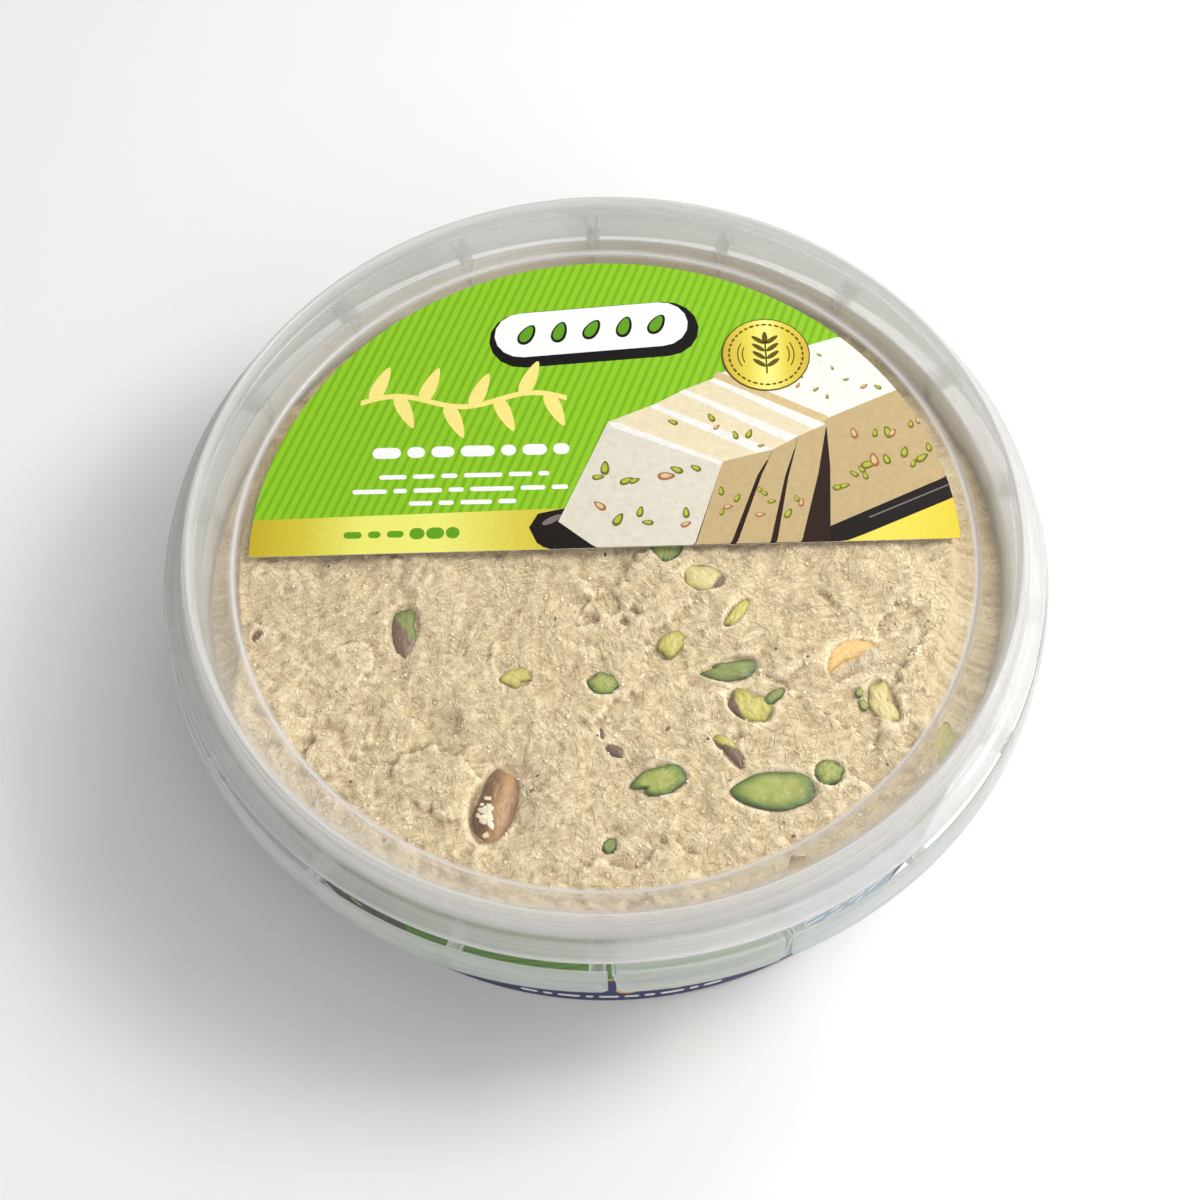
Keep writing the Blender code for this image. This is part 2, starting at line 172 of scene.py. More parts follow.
def swept(sections: Array, closed: bool) -> tuple[Array, FaceBlocks]:
    """A closed skin over a closed section that is carried along a path.

    Args:
        sections: positions as rows along the path and columns round the section.
        closed: True if the path meets itself, otherwise a flat cap shuts each end.

    Returns:
        Corner positions and face blocks.
    """
    rows, cols = sections.shape[:2]
    faces = [grid_faces(rows, cols, wrap_rows=closed, wrap_cols=True)]
    if not closed:
        faces.append(np.arange(cols)[None, ::-1])
        faces.append((rows - 1) * cols + np.arange(cols)[None, :])
    return sections.reshape(-1, 3), faces


def joined(parts: list[tuple[Array, FaceBlocks]]) -> tuple[Array, FaceBlocks, Array]:
    """Several skins as one, with the number of the part that each face comes from.

    Args:
        parts: corner positions and face blocks of each skin.

    Returns:
        Corner positions, face blocks and each face's part.
    """
    points, faces, owner, first = [], [], [], 0
    for number, (corners, blocks) in enumerate(parts):
        points.append(corners)
        faces += [block + first for block in blocks]
        owner += [np.full(len(block), number) for block in blocks]
        first += len(corners)
    return np.concatenate(points), faces, np.concatenate(owner)


def set_number(mesh: Mesh, name: str, values: Array) -> None:
    """Stores one number for each corner of a mesh, for its material to read."""
    made = mesh.attributes.new(name, "FLOAT", "POINT")
    made.data.foreach_set("value", np.ascontiguousarray(values, np.float32).ravel())


def rounded_profile(
    corners: list[tuple[float, float, float, float]], spacing: float
) -> tuple[Array, Array]:
    """A profile through corners, each rounded by an arc that touches both of its sides.

    Args:
        corners: radius, height, rounding radius and milkiness of each corner.
        spacing: the longest step that is left on a straight stretch.

    Returns:
        Points as radius and height, and the milkiness at each.
    """
    places = np.array([corner[:2] for corner in corners])
    points, milk = [places[0]], [corners[0][3]]
    for before, here, after, (_, _, radius, cloud) in zip(places, places[1:], places[2:], corners[1:-1]):
        if radius == 0.0:
            points.append(here)
            milk.append(cloud)
            continue
        back, ahead = before - here, after - here
        back, ahead = back / np.hypot(*back), ahead / np.hypot(*ahead)
        half = 0.5 * math.acos(float(np.clip(back @ ahead, -0.9999, 0.9999)))
        middle = (back + ahead) / np.hypot(*(back + ahead))
        centre = here + middle * radius / math.sin(half)
        first = here + back * radius / math.tan(half) - centre
        last = here + ahead * radius / math.tan(half) - centre
        start = math.atan2(first[1], first[0])
        sweep = (math.atan2(last[1], last[0]) - start + math.pi) % math.tau - math.pi
        bend = start + sweep * np.linspace(0.0, 1.0, 7)
        points += list(centre + radius * np.stack([np.cos(bend), np.sin(bend)], -1))
        milk += [cloud] * len(bend)
    points, milk = np.array([*points, places[-1]]), np.array([*milk, corners[-1][3]])
    steps = np.hypot(*np.diff(points, axis=0).T)
    along = np.concatenate([[0.0], np.cumsum(steps)])
    extra = [
        np.linspace(a, b, max(int((b - a) / spacing), 1), endpoint=False) for a, b in zip(along, along[1:])
    ]
    wanted = np.unique(np.concatenate([*extra, along[-1:]]))
    resampled = np.stack(
        [np.interp(wanted, along, points[:, 0]), np.interp(wanted, along, points[:, 1])], -1
    )
    return resampled, np.interp(wanted, along, milk)


def turned(name: str, corners: list[tuple[float, float, float, float]], steps: int, ring: bool) -> Mesh:
    """A rounded profile turned about the Z axis: x = r cos a, y = r sin a, z = the profile's height.

    Args:
        name: the mesh's name.
        corners: as for rounded_profile. A ring's last corner is followed by its first.
        steps: how many steps go round the axis.
        ring: True for a closed section off the axis, False for one that starts and ends on the axis.

    Returns:
        The mesh, with its milkiness stored as milk.
    """
    if ring:
        middle = tuple(0.5 * (a + b) for a, b in zip(corners[0][:2], corners[-1][:2]))
        seam = (*middle, 0.0, 0.5 * (corners[0][3] + corners[-1][3]))
        corners = [seam, *corners, seam]
    profile, milk = rounded_profile(corners, 0.6 * MM)
    angles = np.linspace(0.0, math.tau, steps, endpoint=False)
    flat = profile[:-1] if ring else profile[1:-1]
    radius, height = flat[None, :, 0], flat[None, :, 1]
    rings = np.stack(
        np.broadcast_arrays(radius * np.cos(angles[:, None]), radius * np.sin(angles[:, None]), height), -1
    )
    if ring:
        mesh = new_mesh(name, *swept(rings, closed=True))
        set_number(mesh, "milk", np.tile(milk[:-1], steps))
        return mesh
    poles = np.array([(0.0, 0.0, profile[0, 1]), (0.0, 0.0, profile[-1, 1])])
    mesh = new_mesh(name, *capped_rings(rings, poles))
    set_number(mesh, "milk", np.concatenate([np.tile(milk[1:-1], steps), milk[[0, -1]]]))
    return mesh


@dataclass(frozen=True)
class Noise:
    """Smooth random values over a plane, from a seeded table of numbers joined by smooth steps."""

    seed: int
    side: int = 256

    def __call__(self, x: Array, y: Array) -> Array:
        """Values from 0 to 1: the four nearest table numbers, blended by 3t^2 - 2t^3 along each side.

        Args:
            x: places in cells of the table.
            y: the same, across.

        Returns:
            One value for each place.
        """
        table = np.random.default_rng(self.seed).random((self.side, self.side))
        cell_x, cell_y = np.floor(x).astype(int), np.floor(y).astype(int)
        part_x, part_y = x - cell_x, y - cell_y
        blend_x, blend_y = part_x**2 * (3 - 2 * part_x), part_y**2 * (3 - 2 * part_y)
        x0, x1 = cell_x % self.side, (cell_x + 1) % self.side
        y0, y1 = cell_y % self.side, (cell_y + 1) % self.side
        low = table[x0, y0] * (1 - blend_x) + table[x1, y0] * blend_x
        high = table[x0, y1] * (1 - blend_x) + table[x1, y1] * blend_x
        return low * (1 - blend_y) + high * blend_y


# ------------------------------------------------------------------------------------------ materials


class Tree:
    """A material's or group's nodes, with short ways to add and join them."""

    def __init__(self, tree: bpy.types.NodeTree) -> None:
        """Wraps a node tree."""
        self.tree = tree

    def node(self, kind: str, inputs: dict | None = None, **settings) -> bpy.types.Node:
        """Adds a node.

        Args:
            kind: the node's type name.
            inputs: a value or an output socket for each named or numbered input.
            settings: properties of the node.

        Returns:
            The node.
        """
        made = self.tree.nodes.new(kind)
        for name, value in settings.items():
            setattr(made, name, value)
        self.join(made, inputs or {})
        return made

    def math(self, operation: str, *values: Socket | float, clamp: bool = False) -> Socket:
        """One Math node over one to three values."""
        made = self.node("ShaderNodeMath", dict(enumerate(values)), operation=operation, use_clamp=clamp)
        return made.outputs[0]

    def spread(self, value: Socket, low: float, high: float, to_low: float, to_high: float) -> Socket:
        """A value mapped from one range to another, and held inside it."""
        ends = {"From Min": low, "From Max": high, "To Min": to_low, "To Max": to_high}
        return self.node("ShaderNodeMapRange", {"Value": value, **ends}).outputs[0]

    def mix(self, share: Socket | float, first: Socket | Colour, second: Socket | Colour) -> Socket:
        """Two colours mixed, from all first at 0 to all second at 1.

        Args:
            share: the second colour's share.
            first: a colour or socket.
            second: a colour or socket.

        Returns:
            The mixed colour.
        """
        made = self.node("ShaderNodeMix", data_type="RGBA")
        for place, value in ((0, share), (6, first), (7, second)):
            if isinstance(value, bpy.types.NodeSocket):
                self.tree.links.new(value, made.inputs[place])
            else:
                made.inputs[place].default_value = (*value, 1.0) if place else value
        return made.outputs[2]

    def values(self, share: Socket, first: Socket, second: Socket) -> Socket:
        """The first number where share is 0, the second where it is 1."""
        return self.math("MULTIPLY_ADD", share, self.math("SUBTRACT", second, first), first)

    def blend(self, share: Socket | float, first: Socket, second: Socket) -> Socket:
        """Two shaders mixed, from all first at 0 to all second at 1."""
        return self.node("ShaderNodeMixShader", {0: share, 1: first, 2: second}).outputs[0]

    def ramp(self, value: Socket, stops: list[tuple[float, Colour]]) -> Socket:
        """Colours along a value, one for each stop.

        Args:
            value: where to read, from 0 to 1.
            stops: places with their colours.

        Returns:
            The colour.
        """
        made = self.node("ShaderNodeValToRGB", {"Fac": value})
        elements = made.color_ramp.elements
        while len(elements) < len(stops):
            elements.new(0.5)
        for element, (place, colour) in zip(elements, stops):
            element.position = place
            element.color = (*colour, 1.0)
        return made.outputs[0]

    def own(self, name: str) -> Socket:
        """The number that the piece's mesh stores under a name."""
        return self.node("ShaderNodeAttribute", attribute_name=name).outputs["Fac"]

    def place(self) -> Socket:
        """The piece's object coordinates, in metres."""
        return self.node("ShaderNodeTexCoord").outputs["Object"]

    def bump(self, height: Socket, strength: float, distance: float) -> Socket:
        """A normal from a height."""
        values = {"Height": height, "Strength": strength, "Distance": distance}
        return self.node("ShaderNodeBump", values).outputs[0]

    def use(self, group: bpy.types.NodeTree, inputs: dict) -> bpy.types.Node:
        """Adds a node group with its values."""
        return self.node("ShaderNodeGroup", inputs, node_tree=group)

    def grain(self, place: Socket, scale: float, roughness: float) -> Socket:
        """The shared grain's value at a scale and roughness."""
        inputs = {"Vector": place, "Scale": scale, "Roughness": roughness}
        return self.use(grain_group(), inputs).outputs["Value"]

    def stirred(self, value: Socket, grain: Socket, amount: float, clamp: bool = False) -> Socket:
        """A value moved up or down by an amount times how far a grain lies from its middle."""
        away = self.math("SUBTRACT", grain, 0.5)
        return self.math("MULTIPLY_ADD", away, amount, value, clamp=clamp)

    def join(self, shader: bpy.types.Node, values: dict) -> None:
        """Gives each named input of a shader its value or joins it to a socket.

        Args:
            shader: any node.
            values: a value or a socket for each input.
        """
        for name, value in values.items():
            if isinstance(value, bpy.types.NodeSocket):
                self.tree.links.new(value, shader.inputs[name])
            else:
                shader.inputs[name].default_value = value


def new_group(name: str, takes: dict[str, str], gives: dict[str, str]) -> tuple[Tree, dict, dict]:
    """An empty node group with named sockets.

    Args:
        name: the group's name.
        takes: input names with their socket types.
        gives: output names with their socket types.

    Returns:
        The tree, its input sockets and its output sockets by name.
    """
    group = bpy.data.node_groups.new(name, "ShaderNodeTree")
    for socket, kind in takes.items():
        group.interface.new_socket(socket, in_out="INPUT", socket_type=f"NodeSocket{kind}")
    for socket, kind in gives.items():
        group.interface.new_socket(socket, in_out="OUTPUT", socket_type=f"NodeSocket{kind}")
    start, end = group.nodes.new("NodeGroupInput"), group.nodes.new("NodeGroupOutput")
    return Tree(group), {s: start.outputs[s] for s in takes}, {s: end.inputs[s] for s in gives}


def once(build: Callable[[], bpy.types.NodeTree]) -> Callable[[], bpy.types.NodeTree]:
    """Makes a group builder keep its first group and give it again.

    Args:
        build: makes the group.

    Returns:
        A function that gives the one group.
    """
    kept: list[bpy.types.NodeTree] = []

    def given() -> bpy.types.NodeTree:
        """The kept group."""
        if not kept:
            kept.append(build())
        return kept[0]

    return given


@once
def grain_group() -> bpy.types.NodeTree:
    """Grain that every surface shares: a coarse noise weighed with one four times finer.

    Returns:
        The group.
    """
    takes = {"Vector": "Vector", "Scale": "Float", "Roughness": "Float"}
    tree, given, out = new_group("shared_grain", takes, {"Value": "Float"})
    finer = tree.math("MULTIPLY", given["Scale"], 4.1)
    parts = []
    for scale in (given["Scale"], finer):
        inputs = {"Vector": given["Vector"], "Scale": scale, "Detail": 3.0, "Roughness": given["Roughness"]}
        parts.append(tree.node("ShaderNodeTexNoise", inputs).outputs[0])
    weighed = tree.math("MULTIPLY_ADD", parts[0], 0.65, tree.math("MULTIPLY", parts[1], 0.35))
    tree.tree.links.new(weighed, out["Value"])
    return tree.tree


@once
def mottle_group() -> bpy.types.NodeTree:
    """Two colours in soft patches, for surfaces that grew or were printed unevenly.

    Returns:
        The group.
    """
    takes = {"Vector": "Vector", "Scale": "Float", "Spread": "Float", "First": "Color", "Second": "Color"}
    tree, given, out = new_group("shared_mottle", takes, {"Color": "Color", "Share": "Float"})
    noise = tree.node(
        "ShaderNodeTexNoise", {"Vector": given["Vector"], "Scale": given["Scale"], "Detail": 4.0}
    )
    centred = tree.math("SUBTRACT", noise.outputs[0], 0.5)
    share = tree.math("MULTIPLY_ADD", centred, given["Spread"], 0.5, clamp=True)
    tree.tree.links.new(tree.mix(share, given["First"], given["Second"]), out["Color"])
    tree.tree.links.new(share, out["Share"])
    return tree.tree


def fresh_material(name: str) -> tuple[Material, Tree, bpy.types.Node]:
    """A new material with its node tree and its Principled BSDF.

    Args:
        name: the material's name.

    Returns:
        The material, its tree and its Principled BSDF.
    """
    made = bpy.data.materials.new(name)
    made.use_nodes = True
    return made, Tree(made.node_tree), made.node_tree.nodes["Principled BSDF"]


@dataclass(frozen=True)
class MilkyPlastic:
    """Translucent moulded plastic, clear where it is thin and seen straight on, milky in its thick
    bends."""

    name: str
    tint: Colour
    roughness: float
    cloud: float
    glow: float = 0.6

    def build(self) -> Material:
        """The material.

        Fine marks run round it, a noise of the distance from the tub's axis and the height. Its body is
        part light thrown back and part light let through from behind. How much of the body shows is 1 -
        (1 - milk) ^ (1 / cosine of the view), so more where sight runs far through the wall. Light on its
        way to what lies behind loses less, by the share glow, as the milk passes most of it on. Over the
        body lies the gloss of its outer faces.

        Returns:
            The finished material.
        """
        made, tree, shader = fresh_material(self.name)
        place = tree.place()
        x, y, z = tree.node("ShaderNodeSeparateXYZ", {"Vector": place}).outputs
        flat = tree.node("ShaderNodeCombineXYZ", {"X": x, "Y": y}).outputs[0]
        reach = tree.node("ShaderNodeVectorMath", {0: flat}, operation="LENGTH").outputs["Value"]
        turned_way = tree.node("ShaderNodeCombineXYZ", {"X": reach, "Y": z}).outputs[0]
        marks = tree.grain(turned_way, 1300.0, 0.55)
        uneven = tree.spread(marks, 0.3, 0.7, 1.0 - self.cloud, 1.0 + self.cloud)
        clear = tree.math("SUBTRACT", 1.0, tree.math("MULTIPLY", tree.own("milk"), uneven, clamp=True))
        facing = tree.node("ShaderNodeLayerWeight", {"Blend": 0.5}).outputs["Facing"]
        cosine = tree.math("MAXIMUM", tree.math("SUBTRACT", 1.0, facing), 0.22)
        passed = tree.math("POWER", clear, tree.math("DIVIDE", 1.0, cosine))
        inputs = {"Vector": place, "Scale": 40.0, "Spread": 1.2}
        dimmer = tuple(0.94 * v for v in self.tint)
        inputs |= {"First": (*self.tint, 1.0), "Second": (*dimmer, 1.0)}
        colour = tree.use(mottle_group(), inputs).outputs["Color"]
        tree.join(shader, {"Base Color": colour, "Roughness": 0.4, "IOR": 1.3})
        through = tree.node("ShaderNodeBsdfTranslucent", {"Color": colour}).outputs[0]
        body = tree.blend(0.5, shader.outputs[0], through)
        open_air = tree.node("ShaderNodeBsdfTransparent").outputs[0]
        shadow = tree.node("ShaderNodeLightPath").outputs["Is Shadow Ray"]
        kept = tree.math("MULTIPLY_ADD", shadow, -self.glow, 1.0)
        seen = tree.blend(tree.math("MULTIPLY", tree.math("SUBTRACT", 1.0, passed), kept), open_air, body)
        mirror = tree.node("ShaderNodeBsdfGlossy", {"Roughness": self.roughness}).outputs[0]
        outer = tree.math("SUBTRACT", 1.0, tree.node("ShaderNodeNewGeometry").outputs["Backfacing"])
        fresnel = tree.node("ShaderNodeFresnel", {"IOR": 1.49}).outputs[0]
        surface = tree.blend(tree.math("MULTIPLY", fresnel, outer), seen, mirror)
        tree.tree.links.new(surface, made.node_tree.nodes["Material Output"].inputs["Surface"])
        return made


@dataclass(frozen=True)
class HalvaCrumb:
    """Crumbly sesame halva: light raised fibres over darker hollows; the hollows' darkening is painted shade
    and the ridges' lightening painted highlight.
    """

    name: str = "halva_crumb"
    light: Colour = srgb(252, 237, 202)
    middle: Colour = srgb(220, 199, 159)
    deep: Colour = srgb(172, 146, 110)

    def build(self) -> Material:
        """The material: the stored relief and a fine grain choose between three colours, so the relief paints
        shade into the hollows and highlight onto the ridges.

        Returns:
            The finished material.
        """
        made, tree, shader = fresh_material(self.name)
        place = tree.place()
        grain = tree.grain(place, 1500.0, 0.7)
        where = tree.node("ShaderNodeTexNoise", {"Vector": place, "Scale": 420.0, "Detail": 1.0}).outputs[0]
        fibres = self.fibres(tree, place, 0.3)
        for number, turn in enumerate((1.35, 2.4)):
            chosen = tree.spread(where, 0.46 + 0.08 * number, 0.5 + 0.08 * number, 0.0, 1.0)
            fibres = tree.values(chosen, fibres, self.fibres(tree, place, turn))
        lift = tree.stirred(tree.own("relief"), grain, 0.5)
        lift = tree.stirred(lift, fibres, 1.1, clamp=True)
        # painted shade and highlight: the deep colour in hollows, the light one on ridges, mixed with the
        # fibres' own tone
        colour = tree.ramp(lift, [(0.05, self.deep), (0.45, self.middle), (0.85, self.light)])
        patches = tree.use(
            mottle_group(),
            {
                "Vector": place, "Scale": 60.0, "Spread": 2.4, "First": (1, 1, 1, 1),
                "Second": (0.92, 0.89, 0.83, 1),
            },
        ).outputs["Color"]
        toned = tree.node("ShaderNodeMix", data_type="RGBA", blend_type="MULTIPLY")
        toned.inputs[0].default_value = 1.0
        tree.tree.links.new(colour, toned.inputs[6])
        tree.tree.links.new(patches, toned.inputs[7])
        height = tree.math("MULTIPLY_ADD", fibres, 1.3, grain)
        values = {
            "Base Color": toned.outputs[2],
            "Roughness": tree.spread(lift, 0.0, 1.0, 0.55, 0.85),
            "Specular IOR Level": 0.35,
            "Normal": tree.bump(height, 0.6, 0.32 * MM),
        }
        tree.join(shader, values)
        return made

    def fibres(self, tree: Tree, place: Socket, turn: float) -> Socket:
        """A noise drawn out into short fibres that lie at a turn in radians.

        Args:
            tree: the material's tree.
            place: object coordinates.
            turn: the fibres' way.

        Returns:
            The noise's value.
        """
        settings = {"Vector": place, "Rotation": (0.0, 0.0, turn), "Scale": (3.6, 0.67, 1.0)}
        way = tree.node("ShaderNodeMapping", settings, vector_type="TEXTURE").outputs[0]
        return tree.node("ShaderNodeTexNoise", {"Vector": way, "Scale": 1900.0, "Detail": 3.0}).outputs[0]


@dataclass(frozen=True)
class Strand:
    """Loose halva threads, crumbs and husks, each in the shade its mesh stores as tone."""

    name: str
    dark: Colour
    light: Colour
    roughness: float = 0.7

    def build(self) -> Material:
        """The material.

        Returns:
            The finished material.
        """
        made, tree, shader = fresh_material(self.name)
        grain = tree.grain(tree.place(), 1400.0, 0.6)
        share = tree.stirred(tree.own("tone"), grain, 0.5, clamp=True)
        values = {
            "Base Color": tree.mix(share, self.dark, self.light),
            "Roughness": tree.spread(grain, 0.3, 0.7, self.roughness - 0.08, self.roughness + 0.08),
            "Specular IOR Level": 0.35,
            "Normal": tree.bump(grain, 0.4, 0.08 * MM),
        }
        tree.join(shader, values)
        return made


@dataclass(frozen=True)
class NutFlesh:
    """Pistachio: a green rim, a paler heart and, where the skin is left on, brown or purple over it."""

    name: str
    heart: Colour
    flesh: Colour
    rim: Colour
    skin: Colour
    skin_light: Colour
    skin_glow: Colour

    def build(self) -> Material:
        """The material: stored heart and skin shares choose the colours, and a fine grain breaks their
        edges.

        Returns:
            The finished material.
        """
        made, tree, shader = fresh_material(self.name)
        place = tree.place()
        grain = tree.grain(place, 700.0, 0.65)
        broken = tree.stirred(tree.own("heart"), grain, 0.45, clamp=True)
        flesh = tree.ramp(broken, [(0.10, self.rim), (0.48, self.flesh), (0.95, self.heart)])
        own = tree.node("ShaderNodeCombineXYZ", {0: tree.own("along"), 1: tree.own("across")}).outputs[0]
        veins = tree.node("ShaderNodeMapping", {"Vector": own, "Scale": (1.0, 2.2, 1.0)}).outputs[0]
        wrinkle = tree.use(
            mottle_group(),
            {
                "Vector": veins,
                "Scale": 520.0,
                "Spread": 2.2,
                "First": (*self.skin, 1.0),
                "Second": (*self.skin_light, 1.0),
            },
        )
        edge = tree.stirred(tree.own("skin"), grain, 0.7)
        covered = tree.spread(edge, 0.3, 0.68, 0.0, 1.0)
        # skin over a high heart turns toward skin_glow; on fully skinned pieces that band is partly painted
        # highlight
        glow = tree.mix(tree.math("MULTIPLY", broken, 0.8), wrinkle.outputs["Color"], self.skin_glow)
        values = {
            "Base Color": tree.mix(covered, flesh, glow),
            "Roughness": tree.spread(grain, 0.3, 0.7, 0.38, 0.6),
            "Subsurface Weight": 0.12,
            "Subsurface Radius": (1.0, 1.0, 0.4),
            "Subsurface Scale": 0.8 * MM,
            "Coat Weight": tree.spread(covered, 0.0, 1.0, 0.05, 0.3),
            "Coat Roughness": 0.3,
            "Normal": tree.bump(tree.math("ADD", grain, wrinkle.outputs["Share"]), 0.35, 0.18 * MM),
        }
        tree.join(shader, values)
        return made


@dataclass(frozen=True)
class Ink:
    """One printed colour with a faint unevenness."""

    name: str
    colour: Colour
    roughness: float = 0.42
    speckle: float = 0.06
    scale: float = 1800.0

    def build(self) -> Material:
        """The material.

        Returns:
            The finished material.
        """
        made, tree, shader = fresh_material(self.name)
        place = tree.place()
        fine = tree.grain(place, self.scale, 0.7)
        darker = tuple((1.0 - 3.0 * self.speckle) * v for v in self.colour)
        share = tree.spread(fine, 0.35, 0.65, 1.0, 0.0)
        values = {
            "Base Color": tree.mix(tree.math("MULTIPLY", share, 0.5), self.colour, darker),
            "Roughness": tree.spread(fine, 0.3, 0.7, self.roughness - 0.06, self.roughness + 0.06),
            "Specular IOR Level": 0.2,
            "Normal": tree.bump(fine, 0.1, 0.03 * MM),
        }
        tree.join(shader, values)
        return made


@dataclass(frozen=True)
class StripedInk:
    """A printed field of slanted soft stripes in two greens."""

    name: str
    light: Colour
    dark: Colour
    across: tuple[float, float, float]
    period: float

    def build(self) -> Material:
        """The material: stripes are a sine of the distance along the direction across.

        Returns:
            The finished material.
        """
        made, tree, shader = fresh_material(self.name)
        place = tree.place()
        along = tree.node(
            "ShaderNodeVectorMath", {0: place, 1: self.across}, operation="DOT_PRODUCT"
        ).outputs["Value"]
        wave = tree.math("SINE", tree.math("MULTIPLY", along, math.tau / self.period))
        fine = tree.grain(place, 1500.0, 0.7)
        wave = tree.stirred(wave, fine, 1.0)
        values = {
            "Base Color": tree.mix(tree.spread(wave, -0.95, 0.1, 0.0, 1.0), self.dark, self.light),
            "Roughness": tree.spread(fine, 0.3, 0.7, 0.36, 0.48),
            "Specular IOR Level": 0.2,
            "Normal": tree.bump(fine, 0.08, 0.03 * MM),
        }
        tree.join(shader, values)
        return made


@dataclass(frozen=True)
class FoilInk:
    """A gold print whose tone runs from ochre to pale yellow and back along X."""

    name: str
    start: float
    end: float
    stops: tuple[tuple[float, Colour], ...]

    def build(self) -> Material:
        """The material.

        Returns:
            The finished material.
        """
        made, tree, shader = fresh_material(self.name)
        place = tree.place()
        x = tree.node("ShaderNodeSeparateXYZ", {"Vector": place}).outputs[0]
        fine = tree.grain(place, 1500.0, 0.7)
        run = tree.spread(x, self.start, self.end, 0.0, 1.0)
        run = tree.stirred(run, fine, 0.06)
        values = {
            "Base Color": tree.ramp(run, list(self.stops)),
            "Roughness": tree.spread(fine, 0.3, 0.7, 0.26, 0.4),
            "Metallic": tree.spread(fine, 0.3, 0.7, 0.1, 0.25),
            "Normal": tree.bump(fine, 0.1, 0.03 * MM),
        }
        tree.join(shader, values)
        return made


def add_piece(
    mesh: Mesh, finishes: list[Material], stands_for: tuple[str, ...] = ()
) -> bpy.types.Object:
    """Puts a mesh into the scene as a piece of the tub.

    Args:
        mesh: the mesh, with its place in its corners.
        finishes: its materials.
        stands_for: the CAD nodes that it replaces.

    Returns:
        The object.
    """
    piece = bpy.data.objects.new(mesh.name, mesh)
    bpy.context.scene.collection.objects.link(piece)
    for finish in finishes:
        mesh.materials.append(finish)
    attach(piece, BODY)
    if stands_for:
        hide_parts(*stands_for)
    LOG.info("%s: %d faces", piece.name, len(mesh.polygons))
    return piece


# ------------------------------------------------------------------------------------------ pieces


@dataclass
class Sizes:
    """The tub's sizes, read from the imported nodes' boxes."""

    gap: float = 0.3 * MM
    wall: float = 0.7 * MM
    lid_wall: float = 0.6 * MM
    foot_rise: float = 0.8 * MM
    tub_floor: float = 0.9 * MM
    wall_foot_z: float = 2.4 * MM
    rim_z: float = 37.65 * MM
    foot_radius: float = field(init=False)
    rim_radius: float = field(init=False)
    collar_radius: float = field(init=False)
    lid_radius: float = field(init=False)
    lid_top: float = field(init=False)
    panel_top: float = field(init=False)
    label_radius: float = field(init=False)
    label_chord: float = field(init=False)
    sleeve_foot: float = field(init=False)

    def __post_init__(self) -> None:
        """Reads the boxes."""
        tub, lid, label, sleeve = (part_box(name) for name in ("tub", "lid", "lid_label", "sleeve"))
        self.collar_radius = float(tub[1][0])
        self.lid_radius = float(lid[1][0])
        self.lid_top = float(lid[1][2])
        self.panel_top = float(label[0][2]) - self.gap
        self.label_radius = float(label[1][0])
        self.label_chord = float(label[0][1])
        self.sleeve_foot = float(sleeve[0][2])
        self.foot_radius = self.collar_radius - 7.75 * MM
        self.rim_radius = self.collar_radius - 5.25 * MM

    def wall_radius(self, z: float | Array) -> float | Array:
        """Outer radius of the tub's tapered wall at a height."""
        share = (z - self.wall_foot_z) / (self.rim_z - self.wall_foot_z)
        return self.foot_radius + (self.rim_radius - self.foot_radius) * share


